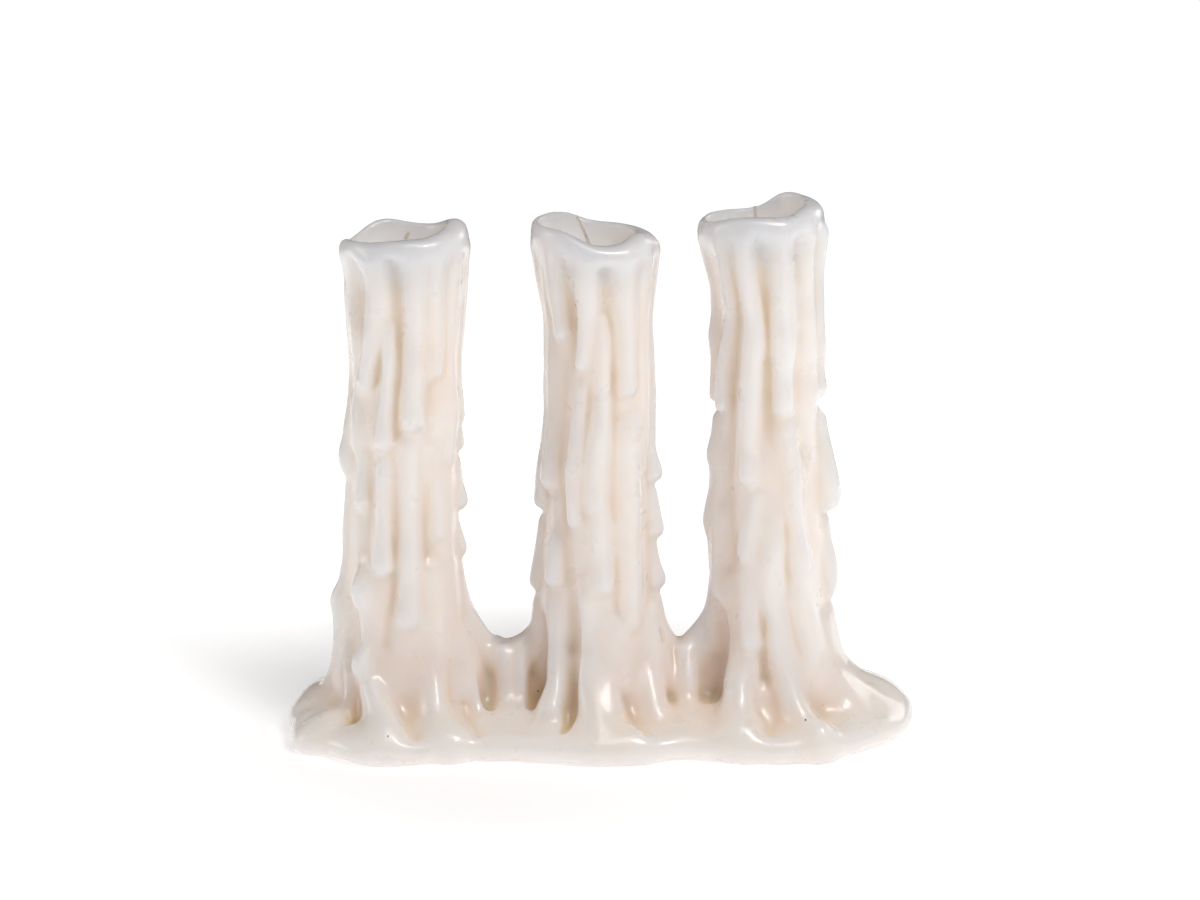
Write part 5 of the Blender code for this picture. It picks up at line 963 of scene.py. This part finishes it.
# ------------------------------------------------------------------ build
low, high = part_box("wax_body")
WAX_BOX = (tuple(low), tuple(high))
wax = make_wax()
wax.data.materials.append(wax_material())
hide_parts("wax_body")
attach(wax, "root")
cotton = wick_material()
for stem in WICKS:
    wick = make_wick(stem)
    wick.data.materials.append(cotton)
    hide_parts("wick_" + stem)
    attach(wick, "root")

# ------------------------------------------------------------------ floor, light and camera
def make_floor():
    mesh = bpy.data.meshes.new("floor")
    mesh.from_pydata([(-0.9, -0.9, -0.0002), (0.9, -0.9, -0.0002), (0.9, 0.65, -0.0002), (-0.9, 0.65, -0.0002)], [], [(0, 1, 2, 3)])
    floor = bpy.data.objects.new("floor", mesh)
    bpy.context.scene.collection.objects.link(floor)
    n = Nodes("pale_floor")
    shade = n.noise(3.0, 2.0)
    n.put(n.b.inputs["Base Color"], n.mix(shade, (0.95, 0.95, 0.95, 1), (0.97, 0.97, 0.97, 1)))
    n.b.inputs["Roughness"].default_value = 0.9
    n.b.inputs["Emission Color"].default_value = (1, 1, 1, 1)
    # painted light: the floor glows, more away from the casting, which whitens it and fades the cast shadows on it
    away = n.add("ShaderNodeVectorMath", {0: n.add("ShaderNodeTexCoord").outputs["Object"]}, operation="LENGTH").outputs["Value"]
    near = n.ramp(away, (0.08, 0.20, FLOOR_GLOW[0], FLOOR_GLOW[1]))
    n.put(n.b.inputs["Emission Strength"], n.math("ADD", near, n.ramp(away, (0.20, 0.60, 0.0, FLOOR_GLOW[2]))))
    mesh.materials.append(n.m)

def light(name, place, target, size, watts, colour=(1, 1, 1)):
    data = bpy.data.lights.new(name, "AREA")
    data.shape = "RECTANGLE"; data.size, data.size_y = size
    data.energy = watts; data.color = colour
    ob = bpy.data.objects.new(name, data)
    ob.location = place
    ob.rotation_euler = (Vector(target) - Vector(place)).to_track_quat("-Z", "Y").to_euler()
    ob.visible_camera = False
    bpy.context.scene.collection.objects.link(ob)
    return ob

FLOOR_GLOW = (0.35, 0.64, 0.34)    # painted light: how strongly the floor itself glows close to the casting and away from it, as on a lit studio sweep; the glow whitens the floor, fades the casting's cast shadow and lights it from below
make_floor()
light("key", (0.59, -0.59, 1.09), (0, 0, 0.09), (0.42, 0.42), 6.2, (1.0, 0.985, 0.97))
light("top", (0.19, -0.52, 1.27), (0, 0, 0.09), (0.5, 0.5), 2.6, (1.0, 0.985, 0.985))
light("left", (-1.26, -0.06, 0.40), (0, 0, 0.09), (0.5, 0.5), 2.4, (1.0, 0.985, 0.975))
light("right", (0.94, 0.79, 0.53), (0, 0, 0.09), (0.5, 0.5), 1.9, (1.0, 0.985, 0.985))

world = bpy.data.worlds.new("studio")
bpy.context.scene.world = world
world.use_nodes = True
tree = world.node_tree
tree.nodes.clear()
out = tree.nodes.new("ShaderNodeOutputWorld")
seen = tree.nodes.new("ShaderNodeBackground"); seen.inputs["Color"].default_value = (1, 1, 1, 1); seen.inputs["Strength"].default_value = 1.05
lit = tree.nodes.new("ShaderNodeBackground"); lit.inputs["Color"].default_value = (1.0, 0.985, 0.97, 1); lit.inputs["Strength"].default_value = 0.13
mixer = tree.nodes.new("ShaderNodeMixShader"); path = tree.nodes.new("ShaderNodeLightPath")
tree.links.new(path.outputs["Is Camera Ray"], mixer.inputs[0])
tree.links.new(lit.outputs[0], mixer.inputs[1]); tree.links.new(seen.outputs[0], mixer.inputs[2])
tree.links.new(mixer.outputs[0], out.inputs["Surface"])

camera = bpy.data.cameras.new("camera")
camera.lens = 85.0; camera.sensor_width = 36.0; camera.clip_start = 0.05; camera.clip_end = 50.0
eye = bpy.data.objects.new("camera", camera)
eye.location = (0.0, -0.9897, 0.3508)
eye.rotation_euler = (math.pi / 2 - math.radians(14.0), 0.0, 0.0)
bpy.context.scene.collection.objects.link(eye)
bpy.context.scene.camera = eye
bpy.context.scene.view_settings.view_transform = "Standard"
bpy.context.scene.view_settings.look = "None"
